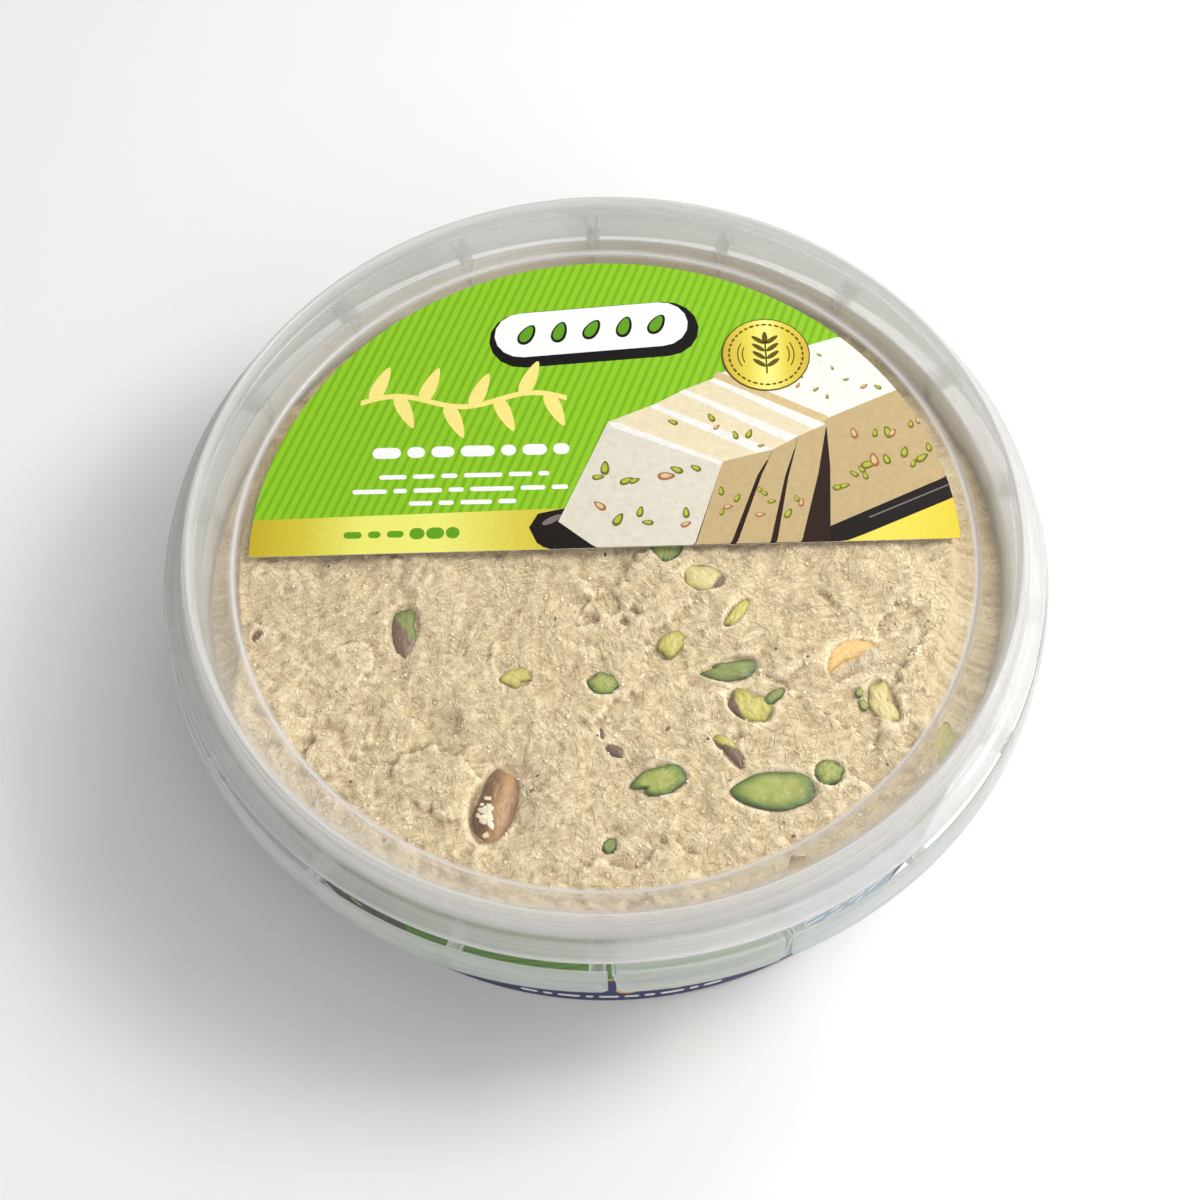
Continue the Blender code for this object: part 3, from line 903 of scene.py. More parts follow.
@dataclass
class Tub:
    """The tub's one moulding: cup, tamper collar, webs and tear tab."""

    sizes: Sizes
    steps: int = 360
    collar_top: float = 32.2 * MM
    collar_foot: float = 25.8 * MM
    collar_lean: float = 0.4 * MM
    collar_wall: float = 0.6 * MM
    web_count: int = 18
    web_first: float = 10.5
    web_top: float = 32.0 * MM
    web_foot: float = 26.6 * MM
    web_wide: float = 2.2 * MM
    tab_from: float = 269.5
    tab_to: float = 291.0
    ledge: float = 0.8 * MM
    slit: float = 1.1 * MM

    def build(self) -> None:
        """Builds the pieces and dresses them."""
        plastic = MilkyPlastic("tub_milky_plastic", srgb(228, 231, 228), 0.28, 0.30).build()
        add_piece(self.cup(), [plastic], ("tub",))
        add_piece(self.collar(), [plastic])
        add_piece(self.webs(), [plastic])
        add_piece(self.tab_ledge(), [plastic])

    def cup(self) -> Mesh:
        """The cup as a turned profile: floor, inner wall, rim, outer wall, foot ring and its raised middle.

        Returns:
            The mesh.
        """
        s = self.sizes
        floor_z = s.foot_rise + s.tub_floor
        inner = s.foot_radius - s.wall
        corners = [
            (0.0, floor_z, 0.0, 0.2),
            (inner - 0.1 * MM, floor_z, 1.8 * MM, 0.16),
            (s.rim_radius - s.wall, s.rim_z, 0.05 * MM, 0.16),
            (s.rim_radius - 0.5 * s.wall, s.rim_z + 0.3 * MM, 0.15 * MM, 0.3),
            (s.rim_radius, s.rim_z, 0.05 * MM, 0.1),
            (s.foot_radius - 0.17 * MM, 0.0, 0.8 * MM, 0.3),
            (s.collar_radius - 13.7 * MM, 0.0, 0.3 * MM, 0.3),
            (s.collar_radius - 14.5 * MM, s.foot_rise, 0.3 * MM, 0.25),
            (0.0, s.foot_rise, 0.0, 0.22),
        ]
        return turned("tub_cup", corners, self.steps, ring=False)

    def collar_outer(self, z: Array | float) -> Array | float:
        """Outer radius of the collar at a height."""
        lean = self.collar_lean * (self.collar_top - z) / (self.collar_top - self.collar_foot)
        return self.sizes.collar_radius - self.collar_lean + lean

    def arc(self, start: float, end: float, corner: float) -> tuple[Array, FaceBlocks]:
        """A stretch of collar between two angles in degrees.

        Its foot rises near both ends along a quarter circle: foot + c - sqrt(c^2 - (c - s)^2), with s the
        distance to the end and c the corner's radius. The section is a rounded band, run down its outer
        side.

        Args:
            start: first angle.
            end: last angle.
            corner: radius of the rounded ends.

        Returns:
            Corner positions and face blocks.
        """
        radius = self.sizes.collar_radius
        angles = np.radians(np.linspace(start, end, max(int((end - start) * 1.4), 24)))
        ends = np.minimum(angles - angles[0], angles[-1] - angles) * radius
        near = np.clip(corner - ends, 0.0, corner)
        foot = self.collar_foot + corner - np.sqrt(corner**2 - near**2)
        share = np.array([0.93, 0.985, 1.0, 0.985, 0.93, 0.5, 0.07, 0.015, 0.0, 0.015, 0.07, 0.5])[None, :]
        depth = np.array([1.0, 0.75, 0.5, 0.25, 0.0, 0.0, 0.0, 0.25, 0.5, 0.75, 1.0, 1.0])[None, :]
        z = foot[:, None] + (self.collar_top - foot[:, None]) * share
        r = self.collar_outer(z) - self.collar_wall * depth
        spot = np.stack([r * np.cos(angles[:, None]), r * np.sin(angles[:, None]), z], -1)
        return swept(spot, closed=False)

    def collar(self) -> Mesh:
        """The collar, in the long stretch round the tub and the short one of the tear tab.

        Returns:
            The mesh.
        """
        half = math.degrees(0.5 * self.slit / self.sizes.collar_radius)
        long_way = self.arc(self.tab_to + half - 360.0, self.tab_from - half, 0.7 * MM)
        tab = self.arc(self.tab_from + half, self.tab_to - half, 1.2 * MM)
        points, faces, _ = joined([long_way, tab])
        mesh = new_mesh("tub_collar", points, faces)
        top = (points[:, 2] - self.collar_foot) / (self.collar_top - self.collar_foot)
        edge = np.maximum(np.abs(top - 0.5) * 2.0 - 0.85, 0.0) / 0.15
        set_number(mesh, "milk", 0.33 + 0.25 * edge)
        mesh.set_sharp_from_angle(angle=math.radians(60))
        return mesh

    def webs(self) -> Mesh:
        """Webs that carry the collar: folded plates with a V section, from the wall out to the collar.

        The section is two thin plates that meet at the foot. Two more webs stand beside the tear tab's
        slits.

        Returns:
            The mesh.
        """
        spread = 360.0 / self.web_count
        turns = [self.web_first + spread * number for number in range(self.web_count)]
        angles = np.radians([*turns, self.tab_from - 1.7, self.tab_to + 1.7])
        height = np.array([1.0, 0.03, 0.0, 0.0, 0.03, 1.0, 1.0, 0.08, 0.08, 1.0])
        half, plate = 0.5 * self.web_wide, 0.15 * self.web_wide
        side = np.array([-half, -0.18 * half, -0.1 * half, 0.1 * half, 0.18 * half, half])
        side = np.concatenate([side, [half - plate, 0.03 * half, -0.03 * half, plate - half]])
        z = self.web_foot + (self.web_top - self.web_foot) * height
        inner = self.sizes.wall_radius(z) - 0.5 * self.sizes.wall
        outer = self.collar_outer(z) - 0.15 * self.collar_wall
        radii = np.stack([inner, outer])[None]
        cos, sin = np.cos(angles)[:, None, None], np.sin(angles)[:, None, None]
        x = radii * cos - side * sin
        y = radii * sin + side * cos
        blocks = np.stack(np.broadcast_arrays(x, y, z), -1)
        points, faces, _ = joined([swept(block, closed=False) for block in blocks])
        mesh = new_mesh("tub_webs", points, faces)
        set_number(mesh, "milk", np.tile(np.repeat([0.05, 0.4], len(side)), len(angles)))
        mesh.set_sharp_from_angle(angle=math.radians(30))
        return mesh

    def tab_ledge(self) -> Mesh:
        """The tear tab's ledge, a flat stretch of ring between the wall and the collar.

        Returns:
            The mesh.
        """
        half = math.degrees(0.5 * self.slit / self.sizes.collar_radius)
        angles = np.radians(np.linspace(self.tab_from + half, self.tab_to - half, 40))[:, None]
        top, foot = self.web_top, self.web_top - self.ledge
        z = np.array([top, top, foot, foot])
        inner = self.sizes.wall_radius(z) - 0.5 * self.sizes.wall
        outer = self.collar_outer(z) - 0.5 * self.collar_wall
        r = np.where(np.array([0, 1, 1, 0]), outer, inner)[None]
        spot = np.stack(np.broadcast_arrays(r * np.cos(angles), r * np.sin(angles), z[None]), -1)
        mesh = new_mesh("tub_tab_ledge", *swept(spot, closed=False))
        set_number(mesh, "milk", np.full(len(mesh.vertices), 0.4))
        mesh.set_sharp_from_angle(angle=math.radians(40))
        return mesh


@dataclass
class Lid:
    """The clear lid: sunken panel, cone, snap bead, outer wall, shelf and lip."""

    sizes: Sizes
    steps: int = 400

    def build(self) -> None:
        """Builds the lid and dresses it."""
        plastic = MilkyPlastic("lid_milky_plastic", srgb(234, 233, 233), 0.15, 0.34).build()
        add_piece(self.shell(), [plastic], ("lid",))

    def shell(self) -> Mesh:
        """The lid as a turned profile, from the panel's middle over the bead to the lip and back
        underneath.

        Returns:
            The mesh.
        """
        s = self.sizes
        top, rim, wall = s.panel_top, s.lid_top, s.lid_wall
        panel, bead, edge = s.collar_radius - 10.7 * MM, s.collar_radius - 5.1 * MM, s.lid_radius
        corners = [
            (0.0, top, 0.0, 0.02),
            (panel - 0.75 * MM, top, 0.0, 0.02),
            (panel - 0.45 * MM, top, 0.0, 0.3),
            # the fillet's milk 0.92 draws a white ring: partly the bend's own milkiness, partly a painted
            # highlight line
            (panel, top, 0.4 * MM, 0.92),
            (panel + 0.3 * MM, top + 0.35 * MM, 0.0, 0.35),
            (panel + 0.5 * MM, top + 0.6 * MM, 0.0, 0.08),
            (bead - 1.0 * MM, rim - 1.4 * MM, 0.0, 0.08),
            (bead - 0.75 * MM, rim - 1.0 * MM, 0.3 * MM, 0.4),
            (bead - 0.25 * MM, rim, 0.3 * MM, 0.86),
            (bead + 0.3 * MM, rim - 0.02 * MM, 0.2 * MM, 0.5),
            (bead + 0.62 * MM, rim - 1.0 * MM, 0.1 * MM, 0.36),
            (bead + 0.78 * MM, rim - 1.15 * MM, 0.1 * MM, 0.66),
            (edge - 3.4 * MM, top + 4.0 * MM, 0.2 * MM, 0.42),
            (edge - 3.15 * MM, top + 3.3 * MM, 0.1 * MM, 0.64),
            (edge - 2.85 * MM, top + 2.2 * MM, 0.2 * MM, 0.42),
            (edge - 2.5 * MM, top + 1.15 * MM, 0.3 * MM, 0.2),
            (edge - 1.9 * MM, top + 0.75 * MM, 0.1 * MM, 0.62),
            (edge - 1.2 * MM, top + 0.45 * MM, 0.2 * MM, 0.46),
            (edge - 0.5 * MM, top + 0.12 * MM, 0.0, 0.5),
            # the lip's milk 0.95 and 0.9 draw a bright line: partly the thick lip's milkiness, partly a
            # painted highlight line
            (edge - 0.05 * MM, top - 0.15 * MM, 0.12 * MM, 0.95),
            (edge - 0.08 * MM, top - 0.75 * MM, 0.2 * MM, 0.9),
            (edge - 0.45 * MM, top - 0.8 * MM, 0.1 * MM, 0.5),
            (edge - 1.3 * MM, top - 0.2 * MM, 0.3 * MM, 0.4),
            (edge - 3.05 * MM, top + 0.75 * MM, 0.4 * MM, 0.35),
            (edge - 3.9 * MM, top + 3.7 * MM, 0.4 * MM, 0.25),
            (bead + 0.05 * MM, rim - 0.95 * MM, 0.2 * MM, 0.2),
            (panel + 1.2 * MM, top + 0.25 * MM, 0.4 * MM, 0.05),
            (panel + 0.3 * MM, top - wall, 0.4 * MM, 0.3),
            (panel - 0.75 * MM, top - wall, 0.0, 0.02),
            (0.0, top - wall, 0.0, 0.02),
        ]
        return turned("lid_shell", corners, self.steps, ring=False)


Outline = Array


def ellipse(
    x: float, y: float, across: float, high: float, turn: float = 0.0, narrow: float = 0.0
) -> Outline:
    """An ellipse, or with narrow an egg: y is scaled by 1 - narrow (cos a + 1) / 2. Turn is in degrees.

    Args:
        x: middle.
        y: middle.
        across: half its length.
        high: half its height.
        turn: degrees.
        narrow: how far one end closes.

    Returns:
        The outline.
    """
    angle = np.linspace(0.0, math.tau, 28, endpoint=False)
    u, v = across * np.cos(angle), high * np.sin(angle) * (1.0 - narrow * (np.cos(angle) + 1.0) / 2.0)
    c, s = math.cos(math.radians(turn)), math.sin(math.radians(turn))
    return np.stack([x + u * c - v * s, y + u * s + v * c], -1)


def capsule(x0: float, y0: float, x1: float, y1: float, radius: float) -> Outline:
    """A bar with round ends between two points: a half circle about each end.

    Args:
        x0: one end's middle.
        y0: the same.
        x1: the other end's middle.
        y1: the same.
        radius: half its width.

    Returns:
        The outline.
    """
    turn = math.atan2(y1 - y0, x1 - x0)
    half = np.linspace(-math.pi / 2, math.pi / 2, 9)
    far = np.stack([x1 + radius * np.cos(turn + half), y1 + radius * np.sin(turn + half)], -1)
    near = np.stack([x0 - radius * np.cos(turn + half), y0 - radius * np.sin(turn + half)], -1)
    return np.concatenate([far, near])


def polygon(*corners: tuple[float, float]) -> Outline:
    """A polygon with extra points along its sides, about a millimetre apart.

    Args:
        corners: its corners, anticlockwise.

    Returns:
        The outline.
    """
    here = np.array(corners, float)
    after = np.roll(here, -1, axis=0)
    counts = np.maximum(np.hypot(*(after - here).T).astype(int), 1)
    sides = zip(here, after, counts)
    return np.concatenate(
        [a + (b - a) * np.linspace(0, 1, n, endpoint=False)[:, None] for a, b, n in sides]
    )


@dataclass
class LidLabel:
    """The half-round label: striped green field, gold band, a picture of sliced halva and plain ornaments.

    Outlines are in millimetres in the label's plane, and anticlockwise.
    """

    sizes: Sizes
    sheet: float = 0.16 * MM
    layer: float = 0.015 * MM
    shapes: list[tuple[str, float, Outline]] = field(default_factory=list)

    def build(self) -> None:
        """Builds the label's sheet and its print."""
        self.add_fields()
        self.add_picture()
        self.add_ornaments()
        stripes = StripedInk(
            "label_green_stripes",
            srgb(138, 194, 34),
            srgb(114, 170, 18),
            (math.sin(1.2), -math.cos(1.2), 0.0),
            1.32 * MM,
        )
        paper = Ink("label_paper", srgb(238, 237, 232)).build()
        add_piece(self.base(), [stripes.build(), paper], ("lid_label",))
        inks = self.inks()
        names = list(inks)
        parts = [self.raised(outline, level) for _, level, outline in self.shapes]
        points, faces, owner = joined(parts)
        mesh = new_mesh("label_inks", points, faces)
        used = np.array([names.index(ink) for ink, _, _ in self.shapes], np.int32)
        mesh.polygons.foreach_set("material_index", used[owner])
        mesh.polygons.foreach_set("use_smooth", np.zeros(len(mesh.polygons), bool))
        add_piece(mesh, list(inks.values()))

    def inks(self) -> dict[str, Material]:
        """The label's inks by name.

        Returns:
            The materials.
        """
        gold = (
            (0.0, 200, 176, 34), (0.07, 218, 202, 58), (0.143, 240, 238, 112), (0.25, 244, 240, 122),
            (0.36, 220, 206, 70), (0.48, 200, 170, 42), (0.86, 232, 218, 84), (1.0, 218, 192, 36),
        )
        # the seal's pale middle stop is partly its printed gold tone and partly a painted highlight across
        # the foil
        seal = (
            (0.0, 198, 168, 40), (0.3, 226, 208, 72), (0.5, 246, 240, 132), (0.72, 222, 200, 62),
            (1.0, 200, 170, 44),
        )
        plain = {
            "white": (244, 244, 242), "black": (12, 9, 8), "tray": (26, 18, 15), "shine": (120, 112, 106),
            "cream": (244, 226, 132), "line": (96, 80, 18), "leaf": (96, 158, 26),
            "nut_rim": (112, 112, 36),
            "nut": (178, 184, 62), "husk": (166, 104, 62), "crack": (44, 24, 14),
        }
        halva = {
            "slice_white": (240, 237, 230), "slice_face": (222, 215, 198), "slice_cream": (232, 219, 184),
            "slice_tan": (196, 172, 126), "slice_edge": (214, 190, 140),
        }
        made = {}
        for name, start, end, stops in (
            ("gold", -50 * MM, 54 * MM, gold), ("seal", 18 * MM, 32 * MM, seal)
        ):
            toned = tuple((place, srgb(*colour)) for place, *colour in stops)
            made[name] = FoilInk(f"ink_{name}", start, end, toned).build()
        for name, colour in plain.items():
            made[name] = Ink(f"ink_{name}", srgb(*colour)).build()
        for name, colour in halva.items():
            made[name] = Ink(f"ink_{name}", srgb(*colour), 0.45, 0.1, 900.0).build()
        return made

    def add(self, ink: str, level: float, *outlines: Outline) -> None:
        """Adds outlines in an ink at a level above the sheet."""
        self.shapes += [(ink, level, outline) for outline in outlines]

    def base(self) -> Mesh:
        """The half-round sheet, lying on the lid's panel.

        Returns:
            The mesh, with bare paper on its sides and underside.
        """
        radius, chord = self.sizes.label_radius, self.sizes.label_chord
        start = math.asin(chord / radius)
        angle = np.linspace(start, math.pi - start, 181)
        flat = radius * np.stack([np.cos(angle), np.sin(angle)], -1)
        low = self.sizes.panel_top + 0.01 * MM
        mesh = new_mesh("label_sheet", *self.prism(flat, low, low + self.sheet))
        paper = np.ones(len(mesh.polygons), np.int32)
        paper[len(flat)] = 0
        mesh.polygons.foreach_set("material_index", paper)
        mesh.polygons.foreach_set("use_smooth", np.zeros(len(mesh.polygons), bool))
        return mesh

    def prism(self, flat: Outline, low: float, high: float) -> tuple[Array, FaceBlocks]:
        """A flat outline in metres with a thickness, closed above, below and round its sides.

        Args:
            flat: the outline.
            low: its foot.
            high: its top.

        Returns:
            Corner positions and face blocks.
        """
        rows = np.stack([np.column_stack([flat, np.full(len(flat), z)]) for z in (high, low)], 1)
        count = len(flat)
        points = rows.reshape(-1, 3)
        top, foot = np.arange(count) * 2, np.arange(count) * 2 + 1
        return points, [grid_faces(count, 2, wrap_rows=True), top[None, :], foot[None, ::-1]]

    def raised(self, outline: Outline, level: float) -> tuple[Array, FaceBlocks]:
        """A printed outline at its level, held inside the label's edge.

        Args:
            outline: the outline in millimetres.
            level: its layer.

        Returns:
            Corner positions and face blocks.
        """
        flat = outline * MM
        reach = self.sizes.label_radius - 0.02 * MM
        distance = np.hypot(*flat.T)
        flat = flat * np.minimum(1.0, reach / np.maximum(distance, MM))[:, None]
        flat[:, 1] = np.maximum(flat[:, 1], self.sizes.label_chord - 0.01 * MM)
        top = self.sizes.panel_top + 0.01 * MM + self.sheet
        return self.prism(flat, top - 0.04 * MM, top + self.layer * level)

    def add_fields(self) -> None:
        """The gold band along the straight edge."""
        self.add("gold", 1, polygon((-53, -2), (53, -2), (53, 7.2), (-53, 5.6)))

    def add_picture(self) -> None:
        """Sliced halva on a dark tray: a block at the right and four slices leaning to the left."""
        self.add(
            "tray",
            2,
            polygon(
                (-9.6, 0.6), (-5, -3), (28, -3), (37.5, 0.8), (54, 8), (54, 12.5), (31, 8), (0, 8),
                (-5, 6.4), (-9.4, 5.5), (-10.7, 3.2),
            ),
        )
        self.add(
            "shine",
            3,
            ellipse(-7.4, 4.4, 1.6, 0.5, 28),
            capsule(-5.6, 5.4, -2.8, 5.9, 0.16),
            capsule(38, 3.4, 50, 8.6, 0.12),
        )
        block_top = polygon(
            (17, 29), (33, 20.6), (44.2, 25.6), (52, 31), (44, 42.5), (36.6, 35.6), (31.5, 34)
        )
        block_front = polygon(
            (31, 1.5), (51, 10.6), (56, 20), (50, 28), (44.2, 25.6), (33, 20.6), (32.6, 12)
        )
        self.add("slice_tan", 3, block_front)
        self.add("slice_white", 3, block_top)
        self.add("slice_edge", 4, polygon((16.6, 28.2), (32.6, 19.6), (33.4, 21.0), (17.6, 29.6)))
        lines = [
            ((1, 21), (17.5, 13.5)), ((8, 24), (25.0, 15.4)), ((12.5, 26.5), (28.8, 17.6)),
            ((17, 28.4), (33, 19.6)),
        ]
        for number in range(3, 0, -1):
            (ax, ay), (bx, by) = lines[number - 1]
            (cx, cy), (dx, dy) = lines[number]
            level = 5 + (3 - number)
            self.add("slice_cream", level, polygon((ax, ay), (bx, by), (dx, dy), (cx, cy)))
            self.add(
                "slice_white",
                level + 1,
                polygon((cx - 0.9, cy - 0.5), (dx - 1.0, dy - 1.4), (dx, dy), (cx, cy)),
            )
        ends = [
            ((12.5, -2), (17.4, -2), (22.4, 11.0), (25.0, 15.4), (17.5, 13.5)),
            ((18.3, -2), (23.2, -2), (26.4, 10.8), (28.8, 17.6), (25.0, 15.4), (23.0, 11.0)),
            ((24.2, -2), (27.6, -2), (31.2, 11.0), (33, 19.6), (28.8, 17.6), (26.8, 10.4)),
        ]
        self.add(
            "crack",
            7,
            polygon(
                (13, -2), (32.0, -2), (33.0, 12), (33.0, 19.0), (28.6, 15.6), (25.0, 13.6), (17.5, 13.0)
            ),
        )
        for corners in ends:
            self.add("slice_tan", 9, polygon(*corners))
        self.add("slice_face", 10, polygon((1, 21), (-6.5, 4), (0.5, -2), (12.3, -2), (17.5, 13.5)))
        self.add("slice_white", 11, polygon((1, 21), (1.6, 20.0), (17.2, 12.8), (17.5, 13.5), (2.6, 20.8)))
        self.add_nut_pieces()

    def add_nut_pieces(self) -> None:
        """Small nut pieces over the faces of the pictured halva, placed by even shares of each face's
        corners."""
        chance = np.random.default_rng(SEED + 1)
        faces = [
            (12, 13, 1.0, ((-4, 4.5), (11.5, 0.5), (16, 12.5), (1.5, 18.5))),
            (10, 4, 0.8, ((14, 0.5), (17, 0.5), (22, 12), (18.5, 12.8))),
            (10, 4, 0.8, ((19, 0.5), (22.4, 0.5), (27, 13), (23.5, 11.5))),
            (10, 3, 0.75, ((25, 0.5), (27.3, 1.0), (31.5, 15), (28.5, 14))),
            (5, 18, 0.95, ((33, 4.5), (49, 12.5), (46, 24), (34.5, 18.5))),
            (9, 6, 0.7, ((9, 21), (23, 14.8), (26, 16.2), (13, 23.5))),
            (5, 9, 0.5, ((24, 27), (33, 22), (43, 26.4), (35, 34))),
        ]
        for level, count, size, corners in faces:
            a, b, c, d = np.array(corners)
            u, v = (np.arange(count) + 0.5) / count, chance.random(count) * 0.86 + 0.07
            u = np.clip(u + chance.normal(0.0, 0.05, count), 0.04, 0.96)
            near = a * (1 - u)[:, None] + b * u[:, None]
            far = d * (1 - u)[:, None] + c * u[:, None]
            spots = near * (1 - v)[:, None] + far * v[:, None]
            turns, widths = chance.random(count) * 180.0, size * (0.7 + 0.6 * chance.random(count))
            for number, ((x, y), turn, wide) in enumerate(zip(spots, turns, widths)):
                husked = number % 5 == 2
                low = level + 0.16 * number
                heart = ellipse(x - 0.06, y + 0.06, 0.64 * wide, 0.4 * wide, turn, 0.45)
                self.add("husk" if husked else "nut_rim", low, ellipse(x, y, wide, 0.66 * wide, turn, 0.45))
                self.add("slice_edge" if husked else "nut", low + 0.08, heart)

    def add_ornaments(self) -> None:
        """A banner, a leafy branch, rows of plain bars and a round seal, with no lettering."""
        self.add("black", 1, capsule(-11.4, 36.4, 10.0, 37.8, 5.1))
        self.add("white", 2, capsule(-11.6, 37.3, 9.4, 38.7, 4.1))
        for number in range(5):
            x, y = -10.8 + 4.9 * number, 37.35 + 0.33 * number
            self.add("black", 3, ellipse(x, y, 2.0, 1.35, 60 + 12 * (number % 2), 0.35))
            self.add("leaf", 4, ellipse(x - 0.05, y + 0.1, 1.6, 0.95, 60 + 12 * (number % 2), 0.35))
        stem = np.linspace(-35.5, -5.0, 40)
        wave = 25.6 + 1.1 * np.sin((stem + 35.5) / 30.5 * math.tau * 1.5)
        self.add(
            "cream",
            1,
            np.concatenate([np.stack([stem, wave - 0.45], -1), np.stack([stem, wave + 0.45], -1)[::-1]]),
        )
        for number in range(8):
            x = -33.5 + 3.7 * number
            y = 25.6 + 1.1 * math.sin((x + 35.5) / 30.5 * math.tau * 1.5)
            up = 1 if number % 2 == 0 else -1
            self.add("cream", 2, ellipse(x + 0.9, y + up * 2.7, 3.3, 1.45, up * 68, 0.55))
        self.add_bars("white", 16.6, 0.95, -33.5, (4.2, 2.6, 3.4, 5.0, 2.2, 3.6, 2.4))
        self.add_bars("white", 12.4, 0.38, -32.4, (4.0, 3.2, 2.4, 5.6, 3.4, 1.6))
        self.add_bars("white", 10.0, 0.38, -36.2, (5.0, 2.0, 4.2, 2.2, 6.4, 3.6, 2.4))
        self.add_bars("white", 7.8, 0.38, -28.0, (3.4, 2.2, 4.6, 2.6))
        self.add_bars("leaf", 2.7, 0.55, -37.2, (2.6, 1.8, 2.4))
        self.add_bars("leaf", 2.7, 0.95, -27.8, (2.2, 1.2, 2.0))
        self.add_seal(24.9, 32.4, 6.6)

    def add_bars(self, ink: str, y: float, radius: float, start: float, lengths: tuple[float, ...]) -> None:
        """A row of bars with round ends, one after another along X.

        Args:
            ink: the ink.
            y: height on the label.
            radius: half a bar's width.
            start: left end.
            lengths: each bar's length.
        """
        for length in lengths:
            self.add(
                ink,
                2,
                capsule(start + radius, y, start + radius + length - 2 * radius, y - 0.01 * length, radius),
            )
            start += length + 0.9

    def add_seal(self, x: float, y: float, radius: float) -> None:
        """A round seal with a beaded rim and a plain sprig.

        Args:
            x: middle.
            y: middle.
            radius: its radius.
        """
        self.add("line", 12, ellipse(x, y, radius, radius))
        self.add("seal", 13, ellipse(x, y, radius - 0.18, radius - 0.18))
        for number in range(36):
            angle = math.tau * number / 36
            spot = (x + 5.5 * math.cos(angle), y + 5.5 * math.sin(angle))
            self.add("line", 14, ellipse(*spot, 0.3 + 0.12 * (number % 2), 0.17, math.degrees(angle) + 90))
        for reach, spread in ((4.2, 30), (3.5, 24)):
            for middle in (0, 180):
                angle = np.radians(np.linspace(middle - spread, middle + spread, 14))
                ring = [
                    np.stack([x + r * np.cos(angle), y + r * np.sin(angle)], -1)
                    for r in (reach + 0.09, reach - 0.09)
                ]
                self.add("line", 14, np.concatenate([ring[0], ring[1][::-1]]))
        self.add("line", 14, capsule(x, y - 3.4, x, y + 2.2, 0.13))
        for number in range(4):
            for side in (-1, 1):
                height = y - 2.0 + 1.4 * number
                self.add(
                    "line", 14, ellipse(x + side * 1.05, height + 0.5, 1.15, 0.42, 90 - side * 52, 0.2)
                )
        self.add("line", 14, ellipse(x, y + 3.1, 1.1, 0.45, 90, 0.2))


